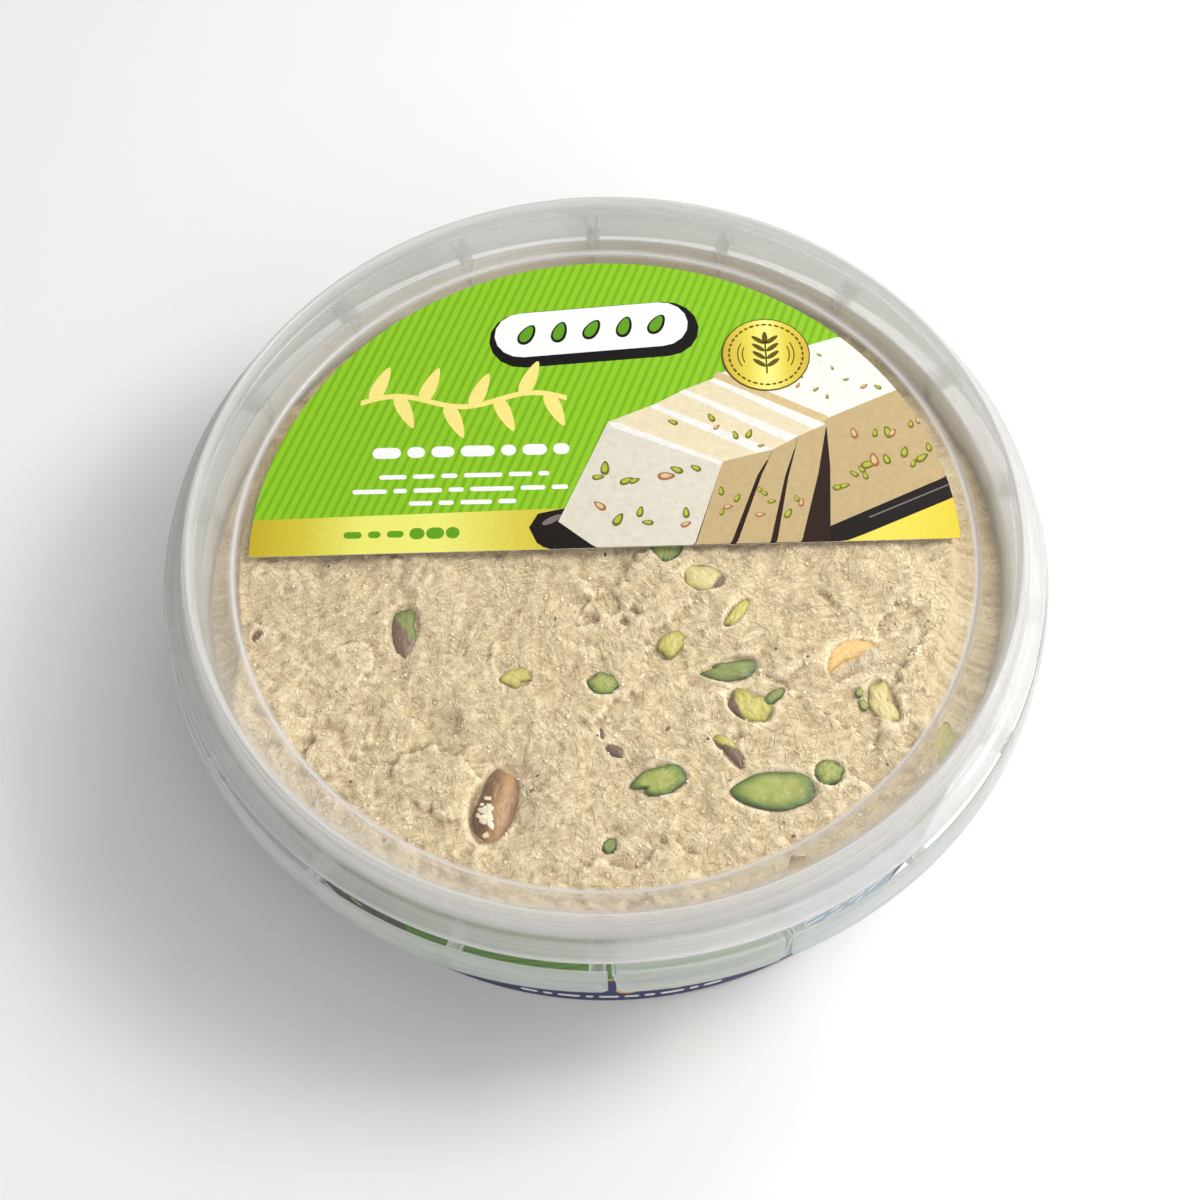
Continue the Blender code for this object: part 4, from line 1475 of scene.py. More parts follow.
@dataclass
class Sleeve:
    """The band printed in the tub's wall: striped green above a navy wave, with plain ornaments.

    Places on the band are the distance round from the front in millimetres, to the right, and the height.
    """

    sizes: Sizes
    top: float = 31.2
    lift: float = 0.16
    layer: float = 0.03
    parts: list[tuple[str, Array, FaceBlocks]] = field(default_factory=list)

    def build(self) -> None:
        """Builds the band and its inks."""
        foot = self.sizes.sleeve_foot / MM
        round_way = math.pi * 57.0
        s = np.linspace(-round_way, round_way, 361)
        self.strip("film", -3, s, np.full(361, foot), np.full(361, self.top))
        self.strip("green", 0, s, np.full(361, foot), np.full(361, self.top), 0.03)
        self.add_fields(s, foot)
        self.add_ornaments()
        inks = self.inks()
        names = list(inks)
        points, faces, owner = joined([(corners, blocks) for _, corners, blocks in self.parts])
        mesh = new_mesh("sleeve_inks", points, faces)
        used = np.array([names.index(ink) for ink, _, _ in self.parts], np.int32)
        mesh.polygons.foreach_set("material_index", used[owner])
        mesh.set_sharp_from_angle(angle=math.radians(30))
        add_piece(mesh, list(inks.values()), ("sleeve",))

    def inks(self) -> dict[str, Material]:
        """The band's inks by name.

        Returns:
            The materials.
        """
        # the sleeve's greens are darker than the lid label's: partly the print's own green, partly painted
        # shade for the wall behind the collar
        stripes = StripedInk(
            "sleeve_green_stripes_shaded", srgb(92, 134, 50), srgb(76, 112, 40), (0.55, 0.55, -0.62), 1.6 * MM
        )
        plain = {
            "film": (240, 240, 237), "navy": (44, 44, 92), "gold": (222, 186, 92), "cream": (240, 228, 186),
            "white": (236, 236, 240), "umber": (92, 84, 74), "slate": (150, 166, 178),
            "leaf": (150, 206, 60),
            "tan": (205, 184, 148),
        }
        made = {"green": stripes.build()}
        for name, colour in plain.items():
            made[name] = Ink(f"band_{name}", srgb(*colour)).build()
        return made

    def strip(
        self, ink: str, level: int, s: Array, low: Array, high: Array, thick: float = 0.1
    ) -> None:
        """A thin closed strip on the wall between two heights, given along the way round.

        A place s millimetres round and z up lies at the angle 270 degrees + s / 57 mm and the wall's
        radius there.

        Args:
            ink: the ink.
            level: its layer.
            s: places round the wall.
            low: lower edge at each.
            high: upper edge.
            thick: its thickness.
        """
        high = np.maximum(high, low + 0.02)
        z = np.stack([high, low, low, high], -1) * MM
        out = (self.lift + self.layer * level) * MM
        deep = np.array([0.0, 0.0, 1.0, 1.0])[None] * thick * MM
        r = self.sizes.wall_radius(z) + out - deep
        angle = (1.5 * math.pi + s / 57.0)[:, None]
        full = s[-1] - s[0] > 350.0
        spot = np.stack([r * np.cos(angle), r * np.sin(angle), z], -1)
        self.parts.append((ink, *swept(spot[:-1] if full else spot, closed=full)))

    def blob(self, ink: str, level: int, s: float, z: float, wide: float, tall: float) -> None:
        """An ellipse on the wall.

        Args:
            ink: the ink.
            level: its layer.
            s: middle.
            z: middle.
            wide: half its length.
            tall: half its height.
        """
        u = np.linspace(-1.0, 1.0, 17)
        rise = tall * np.sqrt(1.0 - u**2)
        self.strip(ink, level, s + wide * u, z - rise, z + rise)

    def bar(self, ink: str, level: int, s: float, z: float, length: float, tall: float) -> None:
        """A bar on the wall with round ends.

        Args:
            ink: the ink.
            level: its layer.
            s: left end.
            z: middle.
            length: its length.
            tall: half its height.
        """
        u = np.linspace(0.0, 1.0, 13)
        edge = np.clip(np.minimum(u, 1.0 - u) * length / tall, 0.0, 1.0)
        rise = tall * np.sqrt(1.0 - (1.0 - edge) ** 2)
        self.strip(ink, level, s + length * u, z - rise, z + rise)

    def add_fields(self, s: Array, foot: float) -> None:
        """The navy wave below, its gold line, and four plain panels round the sides and back; the umber one
        from -68 to -31 is painted shade.

        Args:
            s: places all round the wall.
            foot: the band's foot.
        """
        wave = 11.0 + 1.6 * np.sin(s / 57.0 * 3.0) + 0.7 * np.sin(s / 57.0 * 7.0 + 1.0)
        self.strip("gold", 1, s, np.full_like(s, foot), wave + 0.7)
        self.strip("navy", 2, s, np.full_like(s, foot), wave)
        # the umber field from -68 to -31 is painted shade: a dark sheet where the wall lies in shade behind
        # the collar
        for ink, start, end in (
            ("umber", -68.0, -31.0), ("slate", 22.0, 46.0), ("cream", -150.0, -118.0),
            ("umber", 100.0, 128.0),
        ):
            way = np.linspace(start, end, 60)
            self.strip(ink, 3, way, np.full(60, foot + 1.0), np.full(60, self.top - 0.4))

    def add_ornaments(self) -> None:
        """Scallops and bars at the front and round the band, pictured slices at the sides and rows of
        bars."""
        chance = np.random.default_rng(SEED + 2)
        for number in range(7):
            self.blob("gold", 3, 1.5 + 3.6 * number, 6.6 + 0.5 * (number % 2), 1.6, 1.5)
            self.blob("cream", 4, 1.5 + 3.6 * number, 6.8 + 0.5 * (number % 2), 0.9, 0.8)
        start = -14.0
        for length in (2.6, 1.4, 3.4, 1.2, 3.0, 2.2, 1.6, 3.6, 1.4, 2.8):
            self.bar("white", 3, start, 3.5, length, 0.42)
            start += length + 0.7
        for centre in (-90.0, 75.0, 165.0):
            self.slices(centre)
        for panel, ink in ((-60.0, "cream"), (24.0, "white"), (-148.0, "umber"), (102.0, "cream")):
            width = 24.0 if panel != 24.0 else 19.0
            for row in range(8):
                at = panel
                while at < panel + width - 3.0:
                    length = 1.2 + 2.6 * float(chance.random())
                    self.bar(ink, 4, at, 26.0 - 2.4 * row, length, 0.32)
                    at += length + 0.8

    def slices(self, centre: float) -> None:
        """Three pictured slices of halva in a row, with nut specks.

        Args:
            centre: the middle one's place round the wall.
        """
        u = np.linspace(0.0, 1.0, 9)
        for number in range(3):
            left = centre - 11.0 + 7.4 * number
            lean = 1.2 * u
            self.strip("tan", 3 + number, left + 7.0 * u, 13.0 - lean, 24.0 - lean)
            self.strip("cream", 4 + number, left + 7.0 * u, 22.6 - lean, 24.6 - lean)
            for spot in range(4):
                self.blob(
                    "leaf", 5 + number, left + 1.2 + 1.5 * spot, 15.0 + 1.7 * ((spot * 3) % 4), 0.55, 0.4
                )


class Skin(Enum):
    """How much of a pistachio piece its thin skin still covers."""

    NONE = "none"
    RIM = "rim"
    SIDE = "side"
    MOST = "most"


class Colouring(Enum):
    """The tones of pistachio in the tub."""

    DEEP = "deep"
    GREEN = "green"
    YELLOW = "yellow"
    PALE = "pale"
    GOLDEN = "golden"


@dataclass(frozen=True)
class Nut:
    """One pistachio piece: its node or, for a chip, its own place, then its shape and how it is coloured.

    turn is the way of its long side in degrees, long over wide its proportion, narrow how far its tip
    closes, notch how deep a bite its outline has and at what angle, flat how far its top is cut level,
    and bend how it curves. A chip's place is x, y, length, thickness and top in millimetres. skin_way is
    the direction in which its rim of skin lies, in degrees.
    """

    name: str
    turn: float
    long: float
    narrow: float
    tone: Colouring
    skin: Skin = Skin.NONE
    skin_way: float = 190.0
    notch: float = 0.0
    notch_at: float = 180.0
    flat: float = 0.8
    bend: float = 0.0
    lumps: float = 0.05
    bed: float = 0.6 * MM
    chip: tuple[float, float, float, float, float] | None = None

    def box(self) -> tuple[Array, Array]:
        """The low and high corners of the space that the piece fills.

        Returns:
            The low and the high corner.
        """
        if self.chip is None:
            low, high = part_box(self.name)
            return np.array(low), np.array(high)
        x, y, length, thick, top = (v * MM for v in self.chip)
        turn = math.radians(self.turn)
        half_x = 0.5 * length * math.hypot(math.cos(turn), math.sin(turn) / self.long)
        half_y = 0.5 * length * math.hypot(math.sin(turn), math.cos(turn) / self.long)
        return np.array((x - half_x, y - half_y, top - thick)), np.array((x + half_x, y + half_y, top))

    def away(self, x: Array, y: Array) -> Array:
        """Distance from the piece's middle in its own measure, which is 1 along its outline.

        Args:
            x: places.
            y: places.

        Returns:
            The distance of each.
        """
        low, high = self.box()
        turn = math.radians(self.turn)
        reach_x = math.hypot(math.cos(turn), math.sin(turn) / self.long)
        reach_y = math.hypot(math.sin(turn), math.cos(turn) / self.long)
        half = 0.5 * (high[0] - low[0] + high[1] - low[1]) / (reach_x + reach_y)
        dx, dy = x - 0.5 * (low[0] + high[0]), y - 0.5 * (low[1] + high[1])
        along = (dx * math.cos(turn) + dy * math.sin(turn)) / half
        across = (dy * math.cos(turn) - dx * math.sin(turn)) / half * self.long
        tip = 1.0 - self.narrow * np.clip(0.5 * (along + 1.0), 0.0, 1.0) ** 3
        return np.hypot(along, (across - self.bend * self.long * along**2) / tip)


NUTS = (
    Nut(
        "pistachio_whole_skin", 73, 1.84, 0.25, Colouring.GOLDEN, Skin.MOST, flat=0.1, lumps=0.03,
        bed=1.6 * MM,
    ),
    Nut("pistachio_half_large", 182, 1.87, 0.42, Colouring.GREEN, flat=0.85, lumps=0.04),
    Nut("pistachio_half_notched", 192, 1.55, 0.5, Colouring.GREEN, notch=0.45, notch_at=35, flat=0.8),
    Nut("pistachio_purple_skin", 268, 2.0, 0.55, Colouring.DEEP, Skin.SIDE, flat=0.35, lumps=0.05),
    Nut(
        "pistachio_dark_green", 186, 1.95, 0.6, Colouring.DEEP, notch=0.28, notch_at=316, flat=0.45,
        bend=-0.06,
    ),
    Nut(
        "pistachio_skinned_half", 325, 1.42, 0.15, Colouring.YELLOW, Skin.RIM, 190, notch=0.3, notch_at=100,
        flat=0.85,
    ),
    Nut("pistachio_golden", 30, 1.9, 0.2, Colouring.GOLDEN, flat=0.4, bend=-0.3, lumps=0.07),
    Nut(
        "pistachio_pale", 291, 1.8, 0.3, Colouring.PALE, notch=0.3, notch_at=100, flat=0.6, bend=0.1,
        lumps=0.1,
    ),
    Nut("pistachio_curved_sliver", 306, 2.9, 0.1, Colouring.YELLOW, Skin.SIDE, flat=0.3, bend=-0.1),
    Nut("pistachio_small_round", 20, 1.08, 0.15, Colouring.GREEN, flat=0.7, lumps=0.07),
    Nut("pistachio_small_green", 340, 1.23, 0.45, Colouring.GREEN, flat=0.7, lumps=0.07),
    Nut("pistachio_rimmed_slice", 345, 1.34, 0.2, Colouring.PALE, Skin.RIM, 330, flat=0.85, lumps=0.05),
    Nut("pistachio_under_label", 270, 1.08, 0.35, Colouring.GREEN, flat=0.8),
    Nut("pistachio_yellow_half", 50, 1.35, 0.3, Colouring.YELLOW, notch=0.25, notch_at=310, flat=0.75),
    Nut(
        "triangle_chip", 185, 1.4, 0.6, Colouring.YELLOW, flat=0.8, lumps=0.12, bed=0.3 * MM,
        chip=(-12.8, -20.1, 4.6, 1.6, 33.1),
    ),
    Nut(
        "long_chip", 50, 2.8, 0.3, Colouring.YELLOW, flat=0.5, bed=0.4 * MM,
        chip=(18.3, -10.7, 5.6, 1.8, 33.2),
    ),
    Nut(
        "curl_chip", 40, 2.2, 0.4, Colouring.DEEP, flat=0.2, bed=0.3 * MM,
        chip=(22.7, -24.1, 3.9, 1.4, 33.4),
    ),
    Nut("first_bit", 80, 1.4, 0.3, Colouring.GREEN, bed=0.2 * MM, chip=(34.4, -23.8, 1.5, 1.0, 33.2)),
    Nut("second_bit", 120, 1.5, 0.3, Colouring.GREEN, bed=0.2 * MM, chip=(34.9, -25.8, 1.8, 1.0, 33.2)),
    Nut("hollow_bit", 60, 1.3, 0.3, Colouring.DEEP, bed=1.0 * MM, chip=(-0.4, -45.4, 2.5, 1.4, 32.5)),
    Nut(
        "brown_bit", 150, 1.5, 0.4, Colouring.DEEP, Skin.MOST, bed=0.5 * MM,
        chip=(0.6, -31.6, 2.6, 1.2, 32.9),
    ),
    Nut(
        "dark_shaving", 95, 2.6, 0.2, Colouring.DEEP, Skin.MOST, bed=0.2 * MM,
        chip=(-1.0, -29.0, 1.7, 0.8, 33.0),
    ),
    Nut(
        "left_edge_bit", 70, 1.6, 0.3, Colouring.DEEP, Skin.MOST, bed=0.3 * MM,
        chip=(-49.0, -12.4, 1.9, 1.2, 32.9),
    ),
    Nut(
        "right_edge_half", 55, 1.7, 0.3, Colouring.YELLOW, bed=0.05 * MM,
        chip=(44.8, -31.6, 7.4, 3.0, 32.9), lumps=0.12,
    ),
    Nut("right_edge_chip", 70, 1.8, 0.3, Colouring.GREEN, bed=0.5 * MM, chip=(49.4, -17.2, 5.0, 2.6, 27.0)),
    Nut(
        "front_edge_bit", 20, 1.4, 0.3, Colouring.GOLDEN, Skin.MOST, bed=0.1 * MM,
        chip=(24.2, -48.6, 3.4, 2.0, 32.9), lumps=0.12,
    ),
)


@dataclass
class Pistachios:
    """Every pistachio piece: the large ones fitted to their nodes' boxes, and the chips between them."""

    around: int = 96
    down: int = 44

    def build(self) -> None:
        """Builds every piece and dresses it."""
        finishes = self.finishes()
        for number, nut in enumerate(NUTS):
            skinned = "skin" in nut.name or nut.skin is Skin.MOST or nut.tone is Colouring.GOLDEN
            stands_for = (nut.name,) if nut.chip is None else ()
            add_piece(self.piece(nut, SEED + 10 + number), [finishes[nut.tone]], stands_for)

    def finishes(self) -> dict[Colouring, Material]:
        """One material for each tone.

        Returns:
            The materials.
        """
        # each third skin colour is the pale skin by the heart, on fully skinned pieces partly a painted
        # highlight along the ridge
        brown = (srgb(108, 76, 46), srgb(146, 108, 70), srgb(196, 152, 102))
        purple = (srgb(82, 62, 46), srgb(118, 94, 72), srgb(134, 108, 84))
        tones = {
            Colouring.DEEP: (srgb(138, 150, 78), srgb(92, 110, 44), srgb(52, 66, 30), *purple),
            Colouring.GREEN: (srgb(170, 176, 88), srgb(118, 140, 54), srgb(66, 90, 34), *brown),
            Colouring.YELLOW: (srgb(208, 198, 110), srgb(184, 178, 78), srgb(140, 134, 56), *purple),
            Colouring.PALE: (srgb(224, 210, 150), srgb(208, 194, 122), srgb(176, 162, 94), *purple),
            Colouring.GOLDEN: (srgb(236, 198, 128), srgb(216, 168, 94), srgb(164, 116, 62), *brown),
        }
        return {tone: NutFlesh(f"nut_{tone.value}", *colours).build() for tone, colours in tones.items()}

    def piece(self, nut: Nut, seed: int) -> Mesh:
        """A nut piece as a skin over two directions: round its outline, and from the middle of its top,
        over its edge, to the middle of its underside.

        The outline is the rounded oblong |x|^2.8 + |y|^2.8 = 1, narrowed to its tip and bitten by a
        smooth notch. Its height is cos(pi v), held level near the top by a power of its distance from the
        middle, so a cut half has a flat face.

        Args:
            nut: the piece.
            seed: for its lumps.

        Returns:
            The mesh.
        """
        a = np.linspace(0.0, math.tau, self.around, endpoint=False)[:, None]
        v = np.linspace(0.0, 1.0, self.down + 2)[None, 1:-1]
        chance = np.random.default_rng(seed)
        phase = chance.random(5) * math.tau
        outline = (np.abs(np.cos(a)) ** 2.8 + np.abs(np.sin(a)) ** 2.8) ** (-1.0 / 2.8)
        waves = sum(nut.lumps * math.sqrt(2.0 / (k + 2)) * np.sin((k + 2) * a + phase[k]) for k in range(5))
        away = (a - math.radians(nut.notch_at) + math.pi) % math.tau - math.pi
        outline = outline * (1.0 + waves) * (1.0 - nut.notch * np.exp(-((away / 0.32) ** 2)))
        reach = np.sin(math.pi * v) ** (1.0 - 0.45 * nut.flat)
        along = reach * outline * np.cos(a)
        across = reach * outline * np.sin(a)
        tip = 1.0 - nut.narrow * (np.clip(along + 1.0, 0.0, 2.0) / 2.0) ** 3
        x, y = along, across * tip / nut.long + nut.bend * along**2
        z = np.cos(math.pi * v) * np.ones_like(a)
        level = 1.0 - 0.9 * nut.flat
        z = np.where(z > 0.0, np.abs(z) ** (1.0 - 0.5 * nut.flat) * level, z * (0.75 + 0.2 * tip))
        coarse = Noise(seed)(x * 5.0 + 40.0, y * 9.0 + 40.0)
        rough = coarse + 0.5 * Noise(seed + 1)(x * 14.0 + 60.0, y * 20.0 + 60.0)
        z = z + 0.10 * (rough - 0.75) * (1.0 - v)
        c, s = math.cos(math.radians(nut.turn)), math.sin(math.radians(nut.turn))
        rings = np.stack([x * c - y * s, x * s + y * c, z], -1)
        low, high = nut.box()
        box_low, box_high = rings.reshape(-1, 3).min(0), rings.reshape(-1, 3).max(0)
        fitted = low + (rings - box_low) / (box_high - box_low) * (high - low)
        poles = np.stack([fitted[:, 0].mean(0), fitted[:, -1].mean(0)])
        mesh = new_mesh(f"nut_{nut.name.removeprefix('pistachio_')}", *capped_rings(fitted, poles))
        heart = np.where(v < 0.5, 1.15 * (1.0 - reach**2.4), 0.0) + 0.0 * a
        # on a fully skinned piece the heart is a band beside the ridge where the skin turns paler: partly the
        # skin's own tone, partly painted highlight on the lit ridge
        if nut.skin is Skin.MOST:
            heart = np.exp(-(((across + 0.28) / 0.42) ** 2)) * (v < 0.5)
        skin = self.skin_share(nut, along, across)
        half = 0.25 * float((high - low)[:2].sum())
        for name, values in (
            ("heart", heart), ("skin", skin), ("along", along * half), ("across", across * half)
        ):
            set_number(mesh, name, np.concatenate([values.ravel(), values[0, :1], values[0, -1:]]))
        return mesh

    def skin_share(self, nut: Nut, along: Array, across: Array) -> Array:
        """Where the skin is left on a piece, from 0 to 1.

        Args:
            nut: the piece.
            along: places along it, from -1 to 1.
            across: places across it.

        Returns:
            The share at each place.
        """
        if nut.skin is Skin.MOST:
            return np.full_like(along, 0.9)
        if nut.skin is Skin.SIDE:
            return np.clip(0.5 + 1.6 * (along + 0.12) - 0.9 * across, 0.0, 1.0)
        if nut.skin is Skin.RIM:
            way = math.radians(nut.skin_way - nut.turn)
            return np.clip(0.5 + 2.4 * (math.cos(way) * along + math.sin(way) * across - 0.66), 0.0, 1.0)
        return np.zeros_like(along)


@dataclass
class Halva:
    """The block of halva that fills the tub, its fibres and its loose threads, crumbs and flecks."""

    sizes: Sizes
    top: float = 32.85 * MM
    front_inset: float = 0.8 * MM
    back_inset: float = 6.8 * MM
    offset: float = 1.5 * MM
    offset_from: float = 45.0
    front_drop: float = 0.9 * MM
    back_drop: float = 5.2 * MM
    drop_from: float = 100.0
    front_at: float = 263.0
    leaves: float = 54.0
    clear: float = 72.0
    into_wall: float = 0.25 * MM
    strands: int = 5200
    shreds: int = 6500
    crumbs: int = 1500

    def build(self) -> None:
        """Builds the block and what lies on it."""
        add_piece(self.block(), [HalvaCrumb().build()], ("halva",))
        thread = Strand("halva_thread", srgb(222, 202, 164), srgb(252, 242, 216)).build()
        husk = Strand("sesame_husk", srgb(84, 60, 42), srgb(150, 112, 74)).build()
        strands, shreds = self.scatter(self.strands, SEED + 3), self.scatter(self.shreds, SEED + 4)
        crumbs = self.scatter(self.crumbs, SEED + 5)
        loose = (
            (self.threads("halva_threads", strands, (1.0, 4.4), 0.05, SEED + 3), thread),
            (self.threads("halva_shreds", shreds, (0.4, 1.1), 0.05, SEED + 4), thread),
            (self.lumps("halva_crumbs", crumbs, (0.08, 0.24), SEED + 6), thread),
            (self.lumps("husk_flecks", self.fleck_spots(), (0.10, 0.26), SEED + 7, 0.45), husk),
            (
                self.lumps("halva_flakes", self.flake_spots(), (0.22, 0.46), SEED + 8, 0.12, 1.8 * MM),
                thread,
            ),
            (self.threads("halva_tuft", self.tuft_spots(), (0.8, 2.4), 0.07, SEED + 13), thread),
        )
        for mesh, finish in loose:
            add_piece(mesh, [finish])

    def inner_radius(self, z: Array | float) -> Array | float:
        """The radius to which the halva fills the tub at a height, a little way into the wall."""
        return self.sizes.wall_radius(z) - self.sizes.wall + self.into_wall

    def back_share(self, angle: Array) -> Array:
        """How far the halva has drawn back from the wall: 0 at the front, rising smoothly to 1 at the
        sides.

        Args:
            angle: directions from the axis.

        Returns:
            The share for each.
        """
        turn = np.abs((np.degrees(angle) - self.front_at + 180.0) % 360.0 - 180.0)
        share = np.clip((turn - self.leaves) / (self.clear - self.leaves), 0.0, 1.0)
        return share * share * (3.0 - 2.0 * share)

    def edge_radius(self, angle: Array) -> Array:
        """Radius at which the halva's top starts to fall to its side, with an uneven outline.

        Args:
            angle: directions from the axis.

        Returns:
            The radius for each.
        """
        back = self.back_share(angle)
        back_inset = self.back_inset + self.offset * np.cos(angle - math.radians(self.offset_from))
        inset = self.front_inset + back * (back_inset - self.front_inset)
        uneven = Noise(SEED + 20)(np.cos(angle) * 3.0 + 9.0, np.sin(angle) * 3.0 + 9.0) - 0.5
        return self.inner_radius(self.top) - inset + uneven * (0.3 + 1.1 * back) * MM

    def fibres(self, x: Array, y: Array, size: float, seed: int) -> Array:
        """Ridges of fibres from 0 to 1.

        Six directions each give ridges 1 - |2n - 1| of a noise five times longer than wide, and a broad
        noise chooses which direction shows in each patch.

        Args:
            x: places.
            y: places.
            size: a fibre's width.
            seed: for the noises.

        Returns:
            The ridges' height at each place.
        """
        total, weights = np.zeros_like(x), np.zeros_like(x)
        for number in range(6):
            turn = math.pi * number / 6.0 + 0.2
            along = (x * math.cos(turn) + y * math.sin(turn)) / (5.0 * size)
            across = (y * math.cos(turn) - x * math.sin(turn)) / size
            ridge = 1.0 - np.abs(2.0 * Noise(seed + number)(along + 64.0, across + 64.0) - 1.0)
            weight = Noise(seed + 40 + number)(x / (4.0 * MM) + 32.0, y / (4.0 * MM) + 32.0) ** 6
            total += ridge * weight
            weights += weight
        return total / np.maximum(weights, 1e-9)

    def height(self, x: Array, y: Array) -> Array:
        """Height of the halva's top, held under the lid's panel.

        It sums broad swells, lumps and fibres, small steps with a crack beside them where a layer is
        torn, a pit round the whole nut, a bed under each nut and a tuft over the golden one.

        Args:
            x: places.
            y: places.

        Returns:
            The height at each place.
        """
        swell = Noise(SEED + 21)(x / (9.0 * MM) + 32.0, y / (9.0 * MM) + 32.0) - 0.5
        u, v = 0.8 * x - 0.6 * y, 0.6 * x + 0.8 * y
        lump = Noise(SEED + 22)(u / (3.2 * MM) + 64.0, v / (3.2 * MM) + 64.0) - 0.5
        lump += 0.6 * (Noise(SEED + 29)(x / (2.4 * MM) + 64.0, y / (2.4 * MM) + 64.0) - 0.5)
        small = Noise(SEED + 23)(u / (1.1 * MM) + 99.0, v / (1.1 * MM) + 99.0) - 0.5
        coarse = self.fibres(x, y, 0.6 * MM, SEED + 100) - 0.5
        layer = Noise(SEED + 27)(v / (7.0 * MM) + 20.0, u / (6.0 * MM) + 20.0) - 0.5 + 0.16 * small
        torn = Noise(SEED + 28)(x / (8.0 * MM) + 50.0, y / (8.0 * MM) + 50.0)
        torn = np.clip((torn - 0.47) * 7.0, 0.0, 1.0)
        rise = (0.9 * swell + 0.8 * lump + 0.36 * small + 0.3 * coarse) * MM
        rise += (0.3 * np.tanh(layer / 0.03) - 0.35 * np.exp(-((layer / 0.022) ** 2))) * torn * MM
        low, high = (np.array(corner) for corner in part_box("pistachio_whole_skin"))
        middle = (low + high) / 2
        away = np.hypot((x - middle[0] - 0.8 * MM) / (5.2 * MM), (y - middle[1]) / (7.4 * MM))
        rise -= 1.3 * MM * np.exp(-(away**4))
        for nut in NUTS:
            away = nut.away(x, y)
            sunk = np.clip((1.12 - away) / 0.22, 0.0, 1.0)
            rise = rise + (np.minimum(rise, -nut.bed) - rise) * sunk * sunk * (3.0 - 2.0 * sunk)
        low, high = (np.array(corner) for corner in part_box("pistachio_golden"))
        away = np.hypot(x - high[0] + 2.0 * MM, y - low[1] - 2.9 * MM) / (1.9 * MM)
        rise += (0.15 + 0.9 * small) * MM * np.exp(-(away**4))
        ceiling = self.sizes.panel_top - self.sizes.lid_wall - 0.06 * MM
        return np.minimum(self.top + rise, ceiling)

    def block(self) -> Mesh:
        """The block as rings from the middle of its top over its edge, down its side and in under it.

        Rows go round, three times closer in the front half than behind, where the label hides the top.
        The edge bends down on a quarter ellipse, bulging at the front and hollow where it has left the
        wall.

        Returns:
            The mesh.
        """
        front = np.linspace(math.pi, math.tau, 400, endpoint=False)
        back = np.linspace(0.0, math.pi, 130, endpoint=False)
        angle = np.concatenate([front, back])[:, None]
        edge = self.edge_radius(angle)
        share = self.back_share(angle)
        deep = self.back_drop * (1.0 + 0.6 * np.cos(angle - math.radians(self.drop_from)))
        drop = self.front_drop + share * (deep - self.front_drop)
        t = np.linspace(0.0, 1.0, 131)[None, 1:]
        r_top = edge * t
        z_top = self.height(r_top * np.cos(angle), r_top * np.sin(angle))
        bend = 0.5 * math.pi * np.linspace(0.0, 1.0, 19)[None, 1:]
        down = (1.0 - share) * (1.0 - np.cos(bend)) + share * np.sin(bend)
        out = (1.0 - share) * np.sin(bend) + share * (1.0 - np.cos(bend))
        z_edge = z_top[:, -1:] - drop * down
        r_edge = edge + (self.inner_radius(z_top[:, -1:] - drop) - edge) * out
        uneven = Noise(SEED + 24)(angle * 60.0 + 0.0 * bend, z_edge / (1.1 * MM) + 50.0) - 0.5
        r_edge = r_edge - np.abs(uneven) * 0.7 * MM * share * np.sin(2.0 * bend)
        foot = self.sizes.foot_rise + self.sizes.tub_floor - 0.2 * MM
        z_side = z_edge[:, -1:] + (foot + 1.8 * MM - z_edge[:, -1:]) * np.linspace(0.0, 1.0, 8)[None, 1:]
        r_side = self.inner_radius(z_side)
        turn = 0.5 * math.pi * np.linspace(0.0, 1.0, 6)[None, 1:]
        z_foot = foot + 1.8 * MM * (1.0 - np.sin(turn)) + 0.0 * angle
        r_foot = self.inner_radius(foot + 1.8 * MM) - 1.8 * MM * (1.0 - np.cos(turn)) + 0.0 * angle
        r = np.concatenate([r_top, r_edge, r_side, r_foot], 1)
        z = np.concatenate([z_top, z_edge, z_side, z_foot], 1)
        rings = np.stack([r * np.cos(angle), r * np.sin(angle), z], -1)
        middle = self.height(np.zeros(1), np.zeros(1))[0]
        poles = np.array([(0.0, 0.0, middle), (0.0, 0.0, foot)])
        mesh = new_mesh("halva_block", *capped_rings(rings, poles))
        # the material paints shade into hollows and highlight onto ridges by this relief
        relief = self.relief(z, angle, z_top.shape[1])
        set_number(mesh, "relief", np.concatenate([relief.ravel(), [0.5, 0.5]]))
        return mesh

    def relief(self, z: Array, angle: Array, top_rings: int) -> Array:
        """How high each place stands over its surroundings, from 0 in a hollow to 1 on a ridge, where 0.5
        is level.

        Args:
            z: height of each corner.
            angle: its direction.
            top_rings: how many rings lie on the top.

        Returns:
            The relief of each corner.
        """
        near = z.copy()
        for step in (1, 2, 3):
            for shift, axis in ((step, 1), (-step, 1), (step, 0), (-step, 0)):
                near = near + np.roll(z, shift, axis)
        lift = 0.5 + (z - near / 13.0) / (0.6 * MM)
        lift[:, top_rings - 3 :] = 0.5
        streak = Noise(SEED + 25)(angle * 150.0 + 0.0 * z, z / (5.0 * MM) + 20.0) - 0.5
        side = np.arange(z.shape[1])[None, :] >= top_rings
        return np.clip(np.where(side, 0.55 + 0.5 * streak, lift), 0.0, 1.0)

